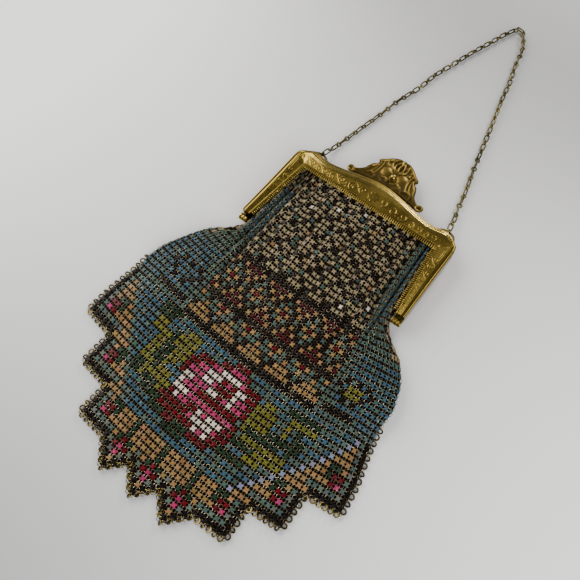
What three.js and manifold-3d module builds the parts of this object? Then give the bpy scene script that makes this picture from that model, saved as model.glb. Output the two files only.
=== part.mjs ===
// A metal mesh purse lying on its back: a hinged brass frame, a thumb lift,
// a pouch of linked tiles with a stepped lower edge, and a carrying chain.
// Millimetres. +X is to the right of the purse's face, +Y towards the chain,
// +Z up from the surface that the purse lies on.
import * as THREE from 'three';
import { mergeVertices } from 'three/addons/utils/BufferGeometryUtils.js';
import Module from 'manifold-3d';

const wasm = await Module();
wasm.setup();

// Named sizes.
const clearance = 0.3;
const bagHalfWidth = 65;
const bagLength = 147.9;
const meshWall = 1.2;
const frameThickness = 10;
const frameHalfWidth = 41.5;
const armLength = 34.4;
const armTipWidth = 4.0;
const armRootWidth = 6.9;
const cornerRise = 6.4;
const archRise = 12.2;
const sheet = 1.1;
const ridgeInset = 2.3;
const ridgeFlat = 0.7;
const lipDrop = 1.7;
const hingeBarrelRadius = 1.5;
const reliefHeight = 0.42;
const earWire = 0.55;
const earSpan = 8.4;
const earReach = 3.4;
const earPlace = 33.6;
const crestHalfWidth = 18.3;
const crestHeight = 17.6;
const crestPlate = 1.3;
const crestRelief = 0.75;
const crestScroll = 1.45;
const crestBall = 1.5;
const crestGap = 1.5;
const liftPinRadius = 0.5;
const liftBarrelRadius = 1.25;
const liftBarrelLength = 10;
const liftLugLength = 2.4;
const chainRadius = 1.1;

// What follows from them.
const jointPlane = frameThickness / 2;
const topY = bagLength + clearance;
const armEndY = topY - armLength;
const innerHalfTop = frameHalfWidth - armRootWidth;
const innerHalfTip = frameHalfWidth - armTipWidth;
const hingeY = armEndY - clearance - hingeBarrelRadius;
const earZ = jointPlane - clearance / 2 - sheet - earWire;
const liftY = topY + archRise + clearance + liftBarrelRadius;
const liftZ = liftBarrelRadius + crestPlate;
const neckY = hingeY - hingeBarrelRadius - clearance;

// The pouch above its points. up is a share of neckY, where the pouch passes
// between the hinges, left and right are shares of bagHalfWidth, top and
// bottom are shares of frameThickness, and round is how rounded its sides are.
const pouchRows = [
  { up: 0.472, left: 0.997, right: 0.978, top: 0.48, bottom: 0, round: 0.32 },
  { up: 0.572, left: 1.0, right: 0.926, top: 0.6, bottom: 0, round: 0.44 },
  { up: 0.654, left: 1.009, right: 0.895, top: 0.7, bottom: 0, round: 0.5 },
  { up: 0.744, left: 0.958, right: 0.886, top: 0.78, bottom: 0, round: 0.54 },
  { up: 0.835, left: 0.862, right: 0.831, top: 0.85, bottom: 0, round: 0.54 },
  { up: 0.907, left: 0.758, right: 0.743, top: 0.89, bottom: 0, round: 0.5 },
];
// The neck, in like columns: up is a share of the way from neckY to the
// pouch's upper edge, and below neckY it is negative. Its sides follow the arms.
const neckRows = [
  { up: -0.153, wide: 1.12, top: 0.9, bottom: 0.0, round: 0.4 },
  { up: -0.071, wide: 1.03, top: 0.91, bottom: 0.01, round: 0.3 },
  { up: 0.0, wide: 1.0, top: 0.91, bottom: 0.02, round: 0.22 },
  { up: 0.215, wide: 1.0, top: 0.9, bottom: 0.04, round: 0.14 },
  { up: 0.49, wide: 1.0, top: 0.88, bottom: 0.06, round: 0.12 },
  { up: 0.765, wide: 1.0, top: 0.85, bottom: 0.08, round: 0.1 },
  { up: 1.0, wide: 1.0, top: 0.82, bottom: 0.09, round: 0.1 },
];
// The points of the lower edge, from the outer one to the middle one. across
// is a share of bagHalfWidth, up a share of bagLength, top a share of
// frameThickness, and root is the inner corner that follows the tip.
const points = [
  { across: 0.995, up: 0.274, rootAcross: 0.775, rootUp: 0.258, top: 0.37, round: 0.22 },
  { across: 0.797, up: 0.163, rootAcross: 0.582, rootUp: 0.153, top: 0.3, round: 0.18 },
  { across: 0.583, up: 0.0636, rootAcross: 0.368, rootUp: 0.053, top: 0.25, round: 0.16 },
  { across: 0.246, up: 0.004, rootAcross: 0.122, rootUp: 0.0436, top: 0.24, round: 0.16 },
  { across: 0.0, up: 0.0, rootAcross: 0.0, rootUp: 0.0, top: 0.24, round: 0.16 },
];
// The folds that gather the mesh into the frame: how many waves from side to
// side, how deep they are, and the share of the pouch's length they run down.
const gathers = { count: 5, depth: 0.45, reach: 0.42 };

// Raised scrolls on the face. place is a share of the bar's half length or of
// the arm's length, across is a share of the face's width, size a share of the
// face's width, turn in degrees, hand the way it curls.
const barScrolls = [
  { place: 0.15, across: 0.5, size: 0.3, turn: 20, hand: 1 },
  { place: 0.3, across: 0.42, size: 0.3, turn: 170, hand: -1 },
  { place: 0.5, across: 0.5, size: 0.3, turn: 10, hand: -1 },
  { place: 0.7, across: 0.5, size: 0.32, turn: 190, hand: 1 },
  { place: 0.93, across: 0.55, size: 0.36, turn: 60, hand: 1 },
];
const armScrolls = [
  { place: 0.12, across: 0.45, size: 0.36, turn: 100, hand: 1 },
  { place: 0.36, across: 0.5, size: 0.34, turn: 280, hand: -1 },
  { place: 0.6, across: 0.5, size: 0.32, turn: 90, hand: -1 },
];
const petals = 5;

// The crest's upper half outline: across is a share of crestHalfWidth, up a
// share of crestHeight. Its lower edge follows the bar's arch.
const crestOutline = [
  { across: 0.0, up: 1.0 },
  { across: 0.16, up: 0.985 },
  { across: 0.3, up: 0.93 },
  { across: 0.44, up: 0.83 },
  { across: 0.54, up: 0.7 },
  { across: 0.5, up: 0.57 },
  { across: 0.57, up: 0.5 },
  { across: 0.6, up: 0.36 },
  { across: 0.68, up: 0.22 },
  { across: 0.82, up: 0.1 },
  { across: 0.96, up: 0.06 },
];
const crestFoot = [0.96, 0.75, 0.5, 0.25, 0];

// Ribs that fan out from the ball: angle from straight up in degrees, where
// each starts and ends as shares of crestHeight, and its thickness share.
const crestRibs = [
  { angle: 0, from: 0.55, to: 0.96, thick: 1.0 },
  { angle: 20, from: 0.52, to: 0.95, thick: 1.0 },
  { angle: 40, from: 0.5, to: 0.88, thick: 1.0 },
  { angle: 60, from: 0.5, to: 0.72, thick: 0.9 },
  { angle: 82, from: 0.46, to: 0.66, thick: 0.8 },
];

// The chain's route, from ear to ear, in millimetres from the bar's middle.
const chainRoute = [
  [-32.4, 18.5, 2.4],
  [-31.0, 27.0, chainRadius],
  [-28.9, 37.5, chainRadius],
  [-26.3, 50.5, chainRadius],
  [-24.6, 60.5, chainRadius],
  [-20.9, 74.0, chainRadius],
  [-19.2, 85.3, chainRadius],
  [-15.4, 98.8, chainRadius],
  [-12.2, 109.8, chainRadius],
  [-8.6, 120.5, chainRadius],
  [-5.3, 130.6, chainRadius],
  [-1.6, 137.4, chainRadius],
  [2.0, 135.4, chainRadius],
  [6.6, 126.6, chainRadius],
  [9.2, 115.0, chainRadius],
  [12.3, 104.3, chainRadius],
  [14.9, 91.7, chainRadius],
  [18.1, 78.6, chainRadius],
  [20.8, 67.2, chainRadius],
  [23.2, 56.9, chainRadius],
  [25.6, 46.9, chainRadius],
  [28.4, 36.2, chainRadius],
  [30.6, 26.3, chainRadius],
  [32.4, 18.5, 2.4],
];
const chainSteps = 78;

const brass = { color: 0xb08a2e, roughness: 0.32, metalness: 1.0 };
const darkBrass = { color: 0x6f5a2a, roughness: 0.45, metalness: 1.0 };
const enamel = { color: 0x6b6a58, roughness: 0.5, metalness: 0.4 };

function solidOf(geometry) {
  const bare = geometry.index ? geometry.toNonIndexed() : geometry.clone();
  bare.deleteAttribute('normal');
  bare.deleteAttribute('uv');
  const merged = mergeVertices(bare, 1e-4);
  const vertProperties = new Float32Array(merged.attributes.position.array);
  const triVerts = new Uint32Array(merged.index.array);
  return new wasm.Manifold(new wasm.Mesh({ numProp: 3, vertProperties, triVerts }));
}

function geometryOf(solid) {
  const data = solid.getMesh();
  const geometry = new THREE.BufferGeometry();
  const flat = new Float32Array(data.numVert * 3);
  for (let i = 0; i < data.numVert; i += 1) {
    for (let k = 0; k < 3; k += 1) {
      flat[i * 3 + k] = data.vertProperties[i * data.numProp + k];
    }
  }
  geometry.setAttribute('position', new THREE.BufferAttribute(flat, 3));
  geometry.setIndex(new THREE.BufferAttribute(new Uint32Array(data.triVerts), 1));
  return geometry;
}

function joined(solids) {
  return solids.reduce((whole, piece) => whole.add(piece));
}

// A closed skin through sections of equal point counts, capped at both ends.
function loft(sections) {
  const count = sections[0].length;
  const position = [];
  const index = [];
  sections.forEach((section) => section.forEach((p) => position.push(p.x, p.y, p.z)));
  for (let s = 0; s < sections.length - 1; s += 1) {
    for (let i = 0; i < count; i += 1) {
      const j = (i + 1) % count;
      const a = s * count + i;
      const b = s * count + j;
      const c = a + count;
      const d = b + count;
      index.push(a, b, d, a, d, c);
    }
  }
  const capped = (section, offset, flip) => {
    const order = capOrder(section);
    order.forEach(([i, j, k]) => {
      index.push(offset + i, offset + (flip ? k : j), offset + (flip ? j : k));
    });
  };
  capped(sections[0], 0, true);
  capped(sections[sections.length - 1], (sections.length - 1) * count, false);
  const geometry = new THREE.BufferGeometry();
  geometry.setAttribute('position', new THREE.Float32BufferAttribute(position, 3));
  geometry.setIndex(index);
  return facingOut(geometry);
}

// Triangles that fill a flat closed section.
function capOrder(section) {
  const normal = new THREE.Vector3();
  section.forEach((p, i) => {
    normal.add(new THREE.Vector3().crossVectors(p, section[(i + 1) % section.length]));
  });
  normal.normalize();
  const across = new THREE.Vector3().subVectors(section[1], section[0]).normalize();
  const up = new THREE.Vector3().crossVectors(normal, across);
  const flat = section.map((p) => new THREE.Vector2(p.dot(across), p.dot(up)));
  return THREE.ShapeUtils.triangulateShape(flat, []);
}

function facingOut(geometry) {
  const p = geometry.attributes.position;
  const index = geometry.index.array;
  const [a, b, c] = [new THREE.Vector3(), new THREE.Vector3(), new THREE.Vector3()];
  let volume = 0;
  for (let i = 0; i < index.length; i += 3) {
    a.fromBufferAttribute(p, index[i]);
    b.fromBufferAttribute(p, index[i + 1]);
    c.fromBufferAttribute(p, index[i + 2]);
    volume += a.dot(b.cross(c));
  }
  if (volume < 0) {
    for (let i = 0; i < index.length; i += 3) {
      [index[i], index[i + 1]] = [index[i + 1], index[i]];
    }
  }
  return geometry;
}

// A round wire along points.
function wire(places, radius, sides, steps) {
  const section = new THREE.Shape();
  for (let i = 0; i < sides; i += 1) {
    const angle = (i / sides) * 2 * Math.PI;
    const x = radius * Math.cos(angle);
    const y = radius * Math.sin(angle);
    if (i === 0) section.moveTo(x, y);
    else section.lineTo(x, y);
  }
  section.closePath();
  const route = places.map((p) => (p.isVector3 ? p : new THREE.Vector3(...p)));
  const extrudePath = new THREE.CatmullRomCurve3(route, false, 'centripetal');
  return new THREE.ExtrudeGeometry(section, { steps, extrudePath, bevelEnabled: false });
}

function ball(radius, place, squash = 1, turns = 8, rings = 6) {
  const geometry = new THREE.SphereGeometry(radius, turns, rings);
  geometry.scale(1, 1, squash);
  geometry.translate(place.x, place.y, place.z);
  return geometry;
}

function barAlongX(radius, length, sides, place) {
  const geometry = new THREE.CylinderGeometry(radius, radius, length, sides);
  geometry.rotateZ(Math.PI / 2);
  geometry.translate(place.x, place.y, place.z);
  return geometry;
}

function between(a, b, share) {
  return a + (b - a) * share;
}

// The frame's inner edge and outer edge, station by station, from the left
// arm's end over the top bar to the right arm's end.
function outerArch(share) {
  const near = Math.abs(share);
  const bow = 0.5 + 0.5 * Math.cos(Math.PI * Math.min(1, near / 0.82));
  const ear = Math.exp(-(((near - 1.0) / 0.13) ** 2));
  return cornerRise + (archRise - cornerRise) * (bow + 0.22 * ear) + 1.2 * (1 - bow);
}

const armStations = 2;
const barStations = 14;
const pouchSteps = 24;

function frameStations() {
  const left = [];
  for (let i = 0; i <= armStations; i += 1) {
    const share = i / armStations;
    const y = between(armEndY, topY - cornerRise * 0.2, share);
    const inner = new THREE.Vector2(-between(innerHalfTip, innerHalfTop, share), y);
    const outer = new THREE.Vector2(-frameHalfWidth, y);
    left.push({ inner, outer });
  }
  const corner = new THREE.Vector2(-innerHalfTop, topY);
  const turns = [
    [1.0, 0.35],
    [0.985, 0.75],
    [0.94, 1.0],
    [0.885, 1.2],
  ];
  turns.forEach(([across, rise]) => {
    left.push({
      inner: corner,
      outer: new THREE.Vector2(-frameHalfWidth * across, topY + cornerRise * rise),
    });
  });
  const bar = [];
  for (let i = 0; i <= barStations; i += 1) {
    const share = between(-1, 1, i / barStations);
    const x = innerHalfTop * share;
    bar.push({
      inner: new THREE.Vector2(x, topY),
      outer: new THREE.Vector2(x, topY + outerArch(share)),
    });
  }
  const right = [...left].reverse().map(({ inner, outer }) => ({
    inner: new THREE.Vector2(-inner.x, inner.y),
    outer: new THREE.Vector2(-outer.x, outer.y),
  }));
  return [...left, ...bar, ...right];
}

// The channel's section: how far it lies from the inner edge, and its height
// above the surface, for the front half.
function channelSection(width) {
  const rim = Math.min(1, width / (armRootWidth * 0.9));
  const top = frameThickness;
  const lip = top - lipDrop;
  return [
    [0, lip - sheet * 0.8],
    [0, lip],
    [width - (ridgeInset + 1.3) * rim, top - 1.0],
    [width - (ridgeInset + ridgeFlat) * rim, top - 0.45],
    [width - (ridgeInset + ridgeFlat / 2) * rim, top],
    [width - (ridgeInset - ridgeFlat / 2) * rim, top],
    [width - 0.75 * rim, top - 1.25],
    [width, top - 2.0],
    [width, jointPlane + clearance / 2],
    [width - sheet, jointPlane + clearance / 2],
    [width - sheet, top - 2.6],
    [width - ridgeInset * rim, top - sheet * 1.1],
    [width - (ridgeInset + 1.3) * rim, top - 1.0 - sheet],
  ];
}

function channel(front) {
  const sections = frameStations().map(({ inner, outer }) => {
    const way = new THREE.Vector2().subVectors(outer, inner);
    const width = way.length();
    way.normalize();
    return channelSection(width).map(([off, z]) => new THREE.Vector3(
      inner.x + way.x * off,
      inner.y + way.y * off,
      front ? z : frameThickness - z,
    ));
  });
  return solidOf(loft(sections));
}

// A place on the face, a share of the way from the inner edge to the ridge.
function onFace(station, across) {
  const way = new THREE.Vector2().subVectors(station.outer, station.inner);
  const width = way.length();
  const section = channelSection(width);
  const faceEnd = section[2];
  const off = faceEnd[0] * across;
  const z = between(section[1][1], faceEnd[1], across);
  way.normalize();
  return new THREE.Vector3(station.inner.x + way.x * off, station.inner.y + way.y * off, z);
}

// One C scroll with a curled end.
function scroll(centre, size, turn, hand) {
  const places = [];
  const steps = 8;
  for (let i = 0; i <= steps; i += 1) {
    const share = i / steps;
    const angle = turn + hand * share * 1.55 * Math.PI;
    const reach = size * between(1.0, 0.28, share);
    places.push(new THREE.Vector3(
      centre.x + reach * Math.cos(angle),
      centre.y + reach * Math.sin(angle),
      centre.z,
    ));
  }
  return solidOf(wire(places, reliefHeight, 5, steps));
}

function faceRelief() {
  const pieces = [];
  const radians = THREE.MathUtils.degToRad;
  [-1, 1].forEach((side) => {
    barScrolls.forEach((row) => {
      const x = innerHalfTop * row.place * side;
      const station = {
        inner: new THREE.Vector2(x, topY),
        outer: new THREE.Vector2(x, topY + outerArch(row.place)),
      };
      const width = outerArch(row.place) - ridgeInset - 1.3;
      const turn = side > 0 ? radians(row.turn) : Math.PI - radians(row.turn);
      pieces.push(scroll(onFace(station, row.across), width * row.size, turn, row.hand * side));
    });
    armScrolls.forEach((row) => {
      const y = between(topY, armEndY, row.place);
      const half = between(innerHalfTop, innerHalfTip, row.place);
      const station = {
        inner: new THREE.Vector2(half * side, y),
        outer: new THREE.Vector2(frameHalfWidth * side, y),
      };
      const width = frameHalfWidth - half - (ridgeInset + 1.3) * 0.8;
      const turn = side > 0 ? radians(row.turn) : Math.PI - radians(row.turn);
      pieces.push(scroll(onFace(station, row.across), width * row.size, turn, row.hand * side));
    });
  });
  const middle = {
    inner: new THREE.Vector2(0, topY),
    outer: new THREE.Vector2(0, topY + archRise),
  };
  const heart = onFace(middle, 0.48);
  const petalReach = (archRise - ridgeInset) * 0.15;
  for (let i = 0; i < petals; i += 1) {
    const angle = Math.PI / 2 + (i / petals) * 2 * Math.PI;
    const place = heart.clone();
    place.x += petalReach * Math.cos(angle);
    place.y += petalReach * Math.sin(angle);
    pieces.push(solidOf(ball(petalReach * 0.62, place, reliefHeight / petalReach / 0.62, 7, 5)));
  }
  pieces.push(solidOf(ball(petalReach * 0.45, heart, 1.1, 7, 5)));
  return pieces;
}

function frontFrame() {
  return joined([channel(true), ...faceRelief()]);
}

// How far up the ears reach, to the middle of their wire.
function earTop() {
  return topY + outerArch(Math.min(1, earPlace / innerHalfTop)) - sheet / 2 + earReach;
}

// A bent wire ear on the back half's top wall, for the chain's end link.
function ear(side) {
  const centre = earPlace * side;
  const wallY = earTop() - earReach;
  const half = earSpan / 2;
  const places = [
    [centre - half, wallY - sheet / 4, earZ],
    [centre - half * 0.86, wallY + earReach * 0.62, earZ],
    [centre - half * 0.4, wallY + earReach, earZ],
    [centre + half * 0.4, wallY + earReach, earZ],
    [centre + half * 0.86, wallY + earReach * 0.62, earZ],
    [centre + half, wallY - sheet / 4, earZ],
  ];
  return solidOf(wire(places, earWire, 6, 14));
}

function backFrame() {
  const lugs = [-1, 1].flatMap((side) => {
    const x = side * (liftBarrelLength / 2 + clearance + liftLugLength / 2);
    const round = barAlongX(liftBarrelRadius, liftLugLength, 10, { x, y: liftY, z: liftZ });
    const wallY = topY + archRise - sheet * 0.8;
    const foot = new THREE.BoxGeometry(liftLugLength, liftY - wallY, liftBarrelRadius * 1.6);
    foot.translate(x, (liftY + wallY) / 2, liftZ);
    return [solidOf(round), solidOf(foot)];
  });
  const pinLength = liftBarrelLength + 2 * clearance + liftLugLength;
  const pin = barAlongX(liftPinRadius, pinLength, 10, { x: 0, y: liftY, z: liftZ });
  return joined([channel(false), ...lugs, solidOf(pin), ear(-1), ear(1)]);
}

function hingeBarrel(side) {
  const x = side * (frameHalfWidth - armTipWidth / 2);
  const place = { x, y: hingeY, z: jointPlane };
  return solidOf(barAlongX(hingeBarrelRadius, armTipWidth, 12, place));
}

// The pouch's half widths, heights and roundness, level by level. The lower
// levels stand a little outside the points, which are cut from them.
function pouchLevels() {
  const lower = [...points].reverse().map((tip, i) => ({
    y: tip.up * bagLength - (i < 2 ? (2 - i) * meshWall / 2 : 0),
    left: Math.max(tip.across, points[3].across) * bagHalfWidth + (tip === points[0] ? 0 : meshWall),
    right: Math.max(tip.across, points[3].across) * bagHalfWidth + (tip === points[0] ? 0 : meshWall),
    top: tip.top * frameThickness,
    bottom: 0,
    round: tip.round,
  }));
  const body = pouchRows.map((row) => ({
    y: row.up * neckY,
    left: row.left * bagHalfWidth,
    right: row.right * bagHalfWidth,
    top: row.top * frameThickness,
    bottom: row.bottom * frameThickness,
    round: row.round,
  }));
  const neck = neckRows.map((row) => {
    const y = between(neckY, bagLength, row.up);
    const share = Math.min(1, Math.max(0, (y - armEndY) / armLength));
    const half = between(innerHalfTip, innerHalfTop, share) * row.wide - clearance;
    return {
      y,
      left: half,
      right: half,
      top: row.top * frameThickness,
      bottom: row.bottom * frameThickness,
      round: row.round,
    };
  });
  return [...lower, ...body, ...neck];
}

// A closed section of the pouch: over the front from left to right, then back.
function pouchSection(level, inset) {
  const centre = (level.right - level.left) / 2;
  const half = (level.right + level.left) / 2 - inset;
  const middle = (level.top + level.bottom) / 2;
  const tall = Math.max(inset / 12, (level.top - level.bottom) / 2 - inset);
  const fade = Math.max(0, 1 - (1 - level.y / bagLength) / gathers.reach);
  const at = (i, side) => {
    const share = Math.sin((i / pouchSteps - 0.5) * Math.PI);
    const lift = Math.sqrt(1 - Math.abs(share) ** (2 / level.round)) * side;
    const wave = Math.cos(share * gathers.count * Math.PI) * (1 - share ** 6);
    const fold = side > 0 ? gathers.depth * fade * wave * lift : 0;
    return new THREE.Vector3(centre + share * half, level.y, middle + lift * tall + fold);
  };
  const loop = [];
  for (let i = 0; i <= pouchSteps; i += 1) loop.push(at(i, 1));
  for (let i = pouchSteps - 1; i > 0; i -= 1) loop.push(at(i, -1));
  return loop;
}

// Half the width that the hollow may have at a level, inside the roots.
function rootHalf(y) {
  const line = [
    { x: bagHalfWidth, y: points[0].rootUp * bagLength + meshWall * 6 },
    ...points.slice(0, 4).map((row) => ({
      x: row.rootAcross * bagHalfWidth,
      y: row.rootUp * bagLength,
    })),
  ];
  if (y >= line[0].y) return Infinity;
  const low = line.findIndex((place) => place.y < y);
  const [above, below] = [line[low - 1], line[low]];
  return between(below.x, above.x, (y - below.y) / (above.y - below.y));
}

function pouchShell() {
  const levels = pouchLevels();
  const outer = loft(levels.map((level) => pouchSection(level, 0)));
  const floor = points[2].rootUp * bagLength + meshWall * 1.5;
  const hollow = [{ ...levels[2], y: floor }];
  levels.filter((level) => level.y > floor + meshWall).forEach((level) => hollow.push(level));
  hollow.push({ ...hollow[hollow.length - 1], y: bagLength + meshWall });
  const inner = loft(hollow.map((level) => {
    const held = Math.min(rootHalf(level.y), level.left);
    const other = Math.min(rootHalf(level.y), level.right);
    return pouchSection({ ...level, left: held, right: other }, meshWall);
  }));
  return solidOf(outer).subtract(solidOf(inner));
}

// What lies outside the stepped lower edge, cut right through both layers.
function steppedEdge() {
  const half = points.flatMap((row) => [
    new THREE.Vector2(row.across * bagHalfWidth, row.up * bagLength),
    new THREE.Vector2(row.rootAcross * bagHalfWidth, row.rootUp * bagLength),
  ]).slice(0, -1);
  const mirrored = half.slice(0, -1).reverse().map((p) => new THREE.Vector2(-p.x, p.y));
  const slope = new THREE.Vector2().subVectors(half[0], half[1]);
  const wide = half[0].clone().addScaledVector(slope, 1);
  const deep = -bagHalfWidth / 2;
  const corners = [
    new THREE.Vector2(wide.x, deep),
    wide,
    ...half,
    ...mirrored,
    new THREE.Vector2(-wide.x, wide.y),
    new THREE.Vector2(-wide.x, deep),
  ];
  const depth = frameThickness * 3;
  const geometry = new THREE.ExtrudeGeometry(new THREE.Shape(corners), {
    depth,
    bevelEnabled: false,
  });
  geometry.translate(0, 0, -depth / 2);
  return solidOf(geometry);
}

function meshBag() {
  return pouchShell().subtract(steppedEdge());
}

// The crest stands on a plate whose lower side is flat; its face is modelled
// with a ball, two cheeks, fanned ribs, leaf tips and two scrolled ends.
function crest() {
  const base = liftY;
  const plateZ = liftZ + liftBarrelRadius + clearance;
  const place = (across, up, z = plateZ + crestPlate) => new THREE.Vector3(
    across * crestHalfWidth,
    base + up * crestHeight,
    z,
  );
  const footY = (across) => topY + crestGap
    + outerArch(across * crestHalfWidth / innerHalfTop);
  const half = [
    ...crestOutline.map((row) => new THREE.Vector2(
      row.across * crestHalfWidth,
      base + row.up * crestHeight,
    )),
    ...crestFoot.map((across) => new THREE.Vector2(across * crestHalfWidth, footY(across))),
  ];
  const other = half.slice(1, -1).reverse().map((p) => new THREE.Vector2(-p.x, p.y));
  const outline = [...half, ...other];
  const plate = new THREE.ExtrudeGeometry(new THREE.Shape(outline), {
    depth: crestPlate,
    bevelEnabled: false,
  });
  plate.translate(0, 0, plateZ);
  const pieces = [solidOf(plate)];
  const barrel = barAlongX(liftBarrelRadius, liftBarrelLength, 10, { x: 0, y: liftY, z: liftZ });
  const webTall = plateZ - liftZ + crestPlate / 2;
  const web = new THREE.BoxGeometry(liftBarrelLength, liftBarrelRadius, webTall);
  web.translate(0, liftY + liftBarrelRadius / 2, liftZ + webTall / 2);
  pieces.push(solidOf(barrel), solidOf(web));
  const heart = place(0, 0.4);
  pieces.push(solidOf(ball(crestBall, place(0, 0.4, heart.z + crestRelief), 1, 10, 6)));
  [-1, 1].forEach((side) => {
    pieces.push(solidOf(ball(crestBall * 1.9, place(0.2 * side, 0.5), 0.45, 10, 5)));
    pieces.push(solidOf(ball(crestBall * 1.3, place(0.34 * side, 0.22), 0.5, 8, 5)));
    crestRibs.forEach((rib) => {
      if (rib.angle === 0 && side < 0) return;
      const angle = THREE.MathUtils.degToRad(rib.angle) * side;
      const at = (reach) => new THREE.Vector3(
        Math.sin(angle) * reach * crestHeight,
        base + crestHeight * 0.16 + Math.cos(angle) * (reach - 0.16) * crestHeight,
        heart.z,
      );
      const line = [at(rib.from), at((rib.from + rib.to) / 2), at(rib.to - 0.04)];
      pieces.push(solidOf(wire(line, crestRelief * rib.thick, 5, 2)));
    });
    const leaf = [place(0.38 * side, 0.1), place(0.58 * side, 0.22), place(0.78 * side, 0.09)];
    pieces.push(solidOf(wire(leaf, crestRelief * 0.9, 5, 5)));
    const ring = new THREE.TorusGeometry(crestScroll, crestRelief, 6, 12);
    const end = place(side, 0, plateZ + crestPlate / 2 + crestRelief / 2);
    end.y = footY(1) + crestScroll + crestRelief / 2;
    ring.translate(end.x, end.y, end.z);
    pieces.push(solidOf(ring));
    pieces.push(solidOf(ball(crestScroll, end, 0.55, 8, 5)));
  });
  const hole = liftPinRadius + clearance / 2;
  const bore = barAlongX(hole, liftBarrelLength * 1.2, 10, { x: 0, y: liftY, z: liftZ });
  return joined(pieces).subtract(solidOf(bore));
}

// The chain as one round rope, from just past one ear to just past the other.
function carryingChain() {
  const start = earTop() + earWire + clearance;
  const ends = [-1, 1].map((side) => new THREE.Vector3(earPlace * side, start, earZ));
  const free = chainRoute.map(([x, y, z]) => new THREE.Vector3(x, topY + y, z));
  const line = new THREE.CatmullRomCurve3([ends[0], ...free, ends[1]], false, 'centripetal');
  const places = line.getSpacedPoints(chainSteps);
  places.forEach((place) => {
    place.z = Math.max(place.z, chainRadius);
  });
  return wire(places, chainRadius, 8, chainSteps);
}

const purse = new THREE.Group();

function add(name, geometry, look) {
  const mesh = new THREE.Mesh(geometry, new THREE.MeshStandardMaterial(look));
  mesh.name = name;
  purse.add(mesh);
}

add('front_frame', geometryOf(frontFrame()), brass);
add('back_frame', geometryOf(backFrame()), brass);
add('hinge_barrel_left', geometryOf(hingeBarrel(-1)), brass);
add('hinge_barrel_right', geometryOf(hingeBarrel(1)), brass);
add('thumb_lift', geometryOf(crest()), brass);
add('mesh_bag', geometryOf(meshBag()), enamel);
add('chain', carryingChain(), darkBrass);

// The origin is under the middle of the whole purse, on the surface it lies on.
const extent = new THREE.Box3().setFromObject(purse);
const middle = extent.getCenter(new THREE.Vector3());
purse.position.set(-middle.x, -middle.y, -extent.min.z);

export default purse;
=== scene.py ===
"""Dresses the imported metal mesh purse: tiles and rings, pressed frame, cast thumb lift, link chain."""

import logging
import math
from dataclasses import dataclass, field
from enum import Enum
from typing import Callable, NamedTuple, Sequence

import bpy
import numpy as np
from mathutils import Matrix, Vector

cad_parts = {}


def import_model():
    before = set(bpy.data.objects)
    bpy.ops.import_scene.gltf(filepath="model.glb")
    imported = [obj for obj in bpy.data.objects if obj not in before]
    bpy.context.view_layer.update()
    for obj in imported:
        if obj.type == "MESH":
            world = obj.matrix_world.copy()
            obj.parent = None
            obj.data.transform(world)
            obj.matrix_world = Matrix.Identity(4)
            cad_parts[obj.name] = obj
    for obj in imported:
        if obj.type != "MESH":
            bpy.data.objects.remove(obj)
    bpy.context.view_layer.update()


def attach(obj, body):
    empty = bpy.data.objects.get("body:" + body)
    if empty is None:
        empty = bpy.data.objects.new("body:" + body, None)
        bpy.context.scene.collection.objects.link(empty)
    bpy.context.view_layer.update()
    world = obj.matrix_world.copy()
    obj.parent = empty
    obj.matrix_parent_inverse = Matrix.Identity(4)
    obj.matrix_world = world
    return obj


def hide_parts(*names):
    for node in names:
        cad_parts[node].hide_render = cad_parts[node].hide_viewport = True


logging.basicConfig(level=logging.INFO, format="%(message)s")
LOG = logging.getLogger("purse")

MM = 0.001
# Where the tip of the pouch's middle tooth stands in the row frame, in millimetres.
TOOTH_TIP = np.array((0.455, -143.309, 0.0))
Array = np.ndarray


def in_row(points: Array) -> Array:
    """Purse millimetres, measured from the middle tooth's tip, as row frame metres."""
    return (np.asarray(points, float) + TOOTH_TIP) * MM


def smooth(value: Array | float, low: float, high: float) -> Array:
    """A smooth step from 0 at low to 1 at high."""
    share = np.clip((np.asarray(value, float) - low) / (high - low), 0.0, 1.0)
    return share * share * (3.0 - 2.0 * share)


def linear(hex_colour: str) -> tuple[float, float, float]:
    """A display colour written as rrggbb, as scene-linear red, green and blue."""
    parts = [int(hex_colour[i:i + 2], 16) / 255.0 for i in (0, 2, 4)]
    return tuple(p / 12.92 if p <= 0.04045 else ((p + 0.055) / 1.055) ** 2.4 for p in parts)


# Shader maths


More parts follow.
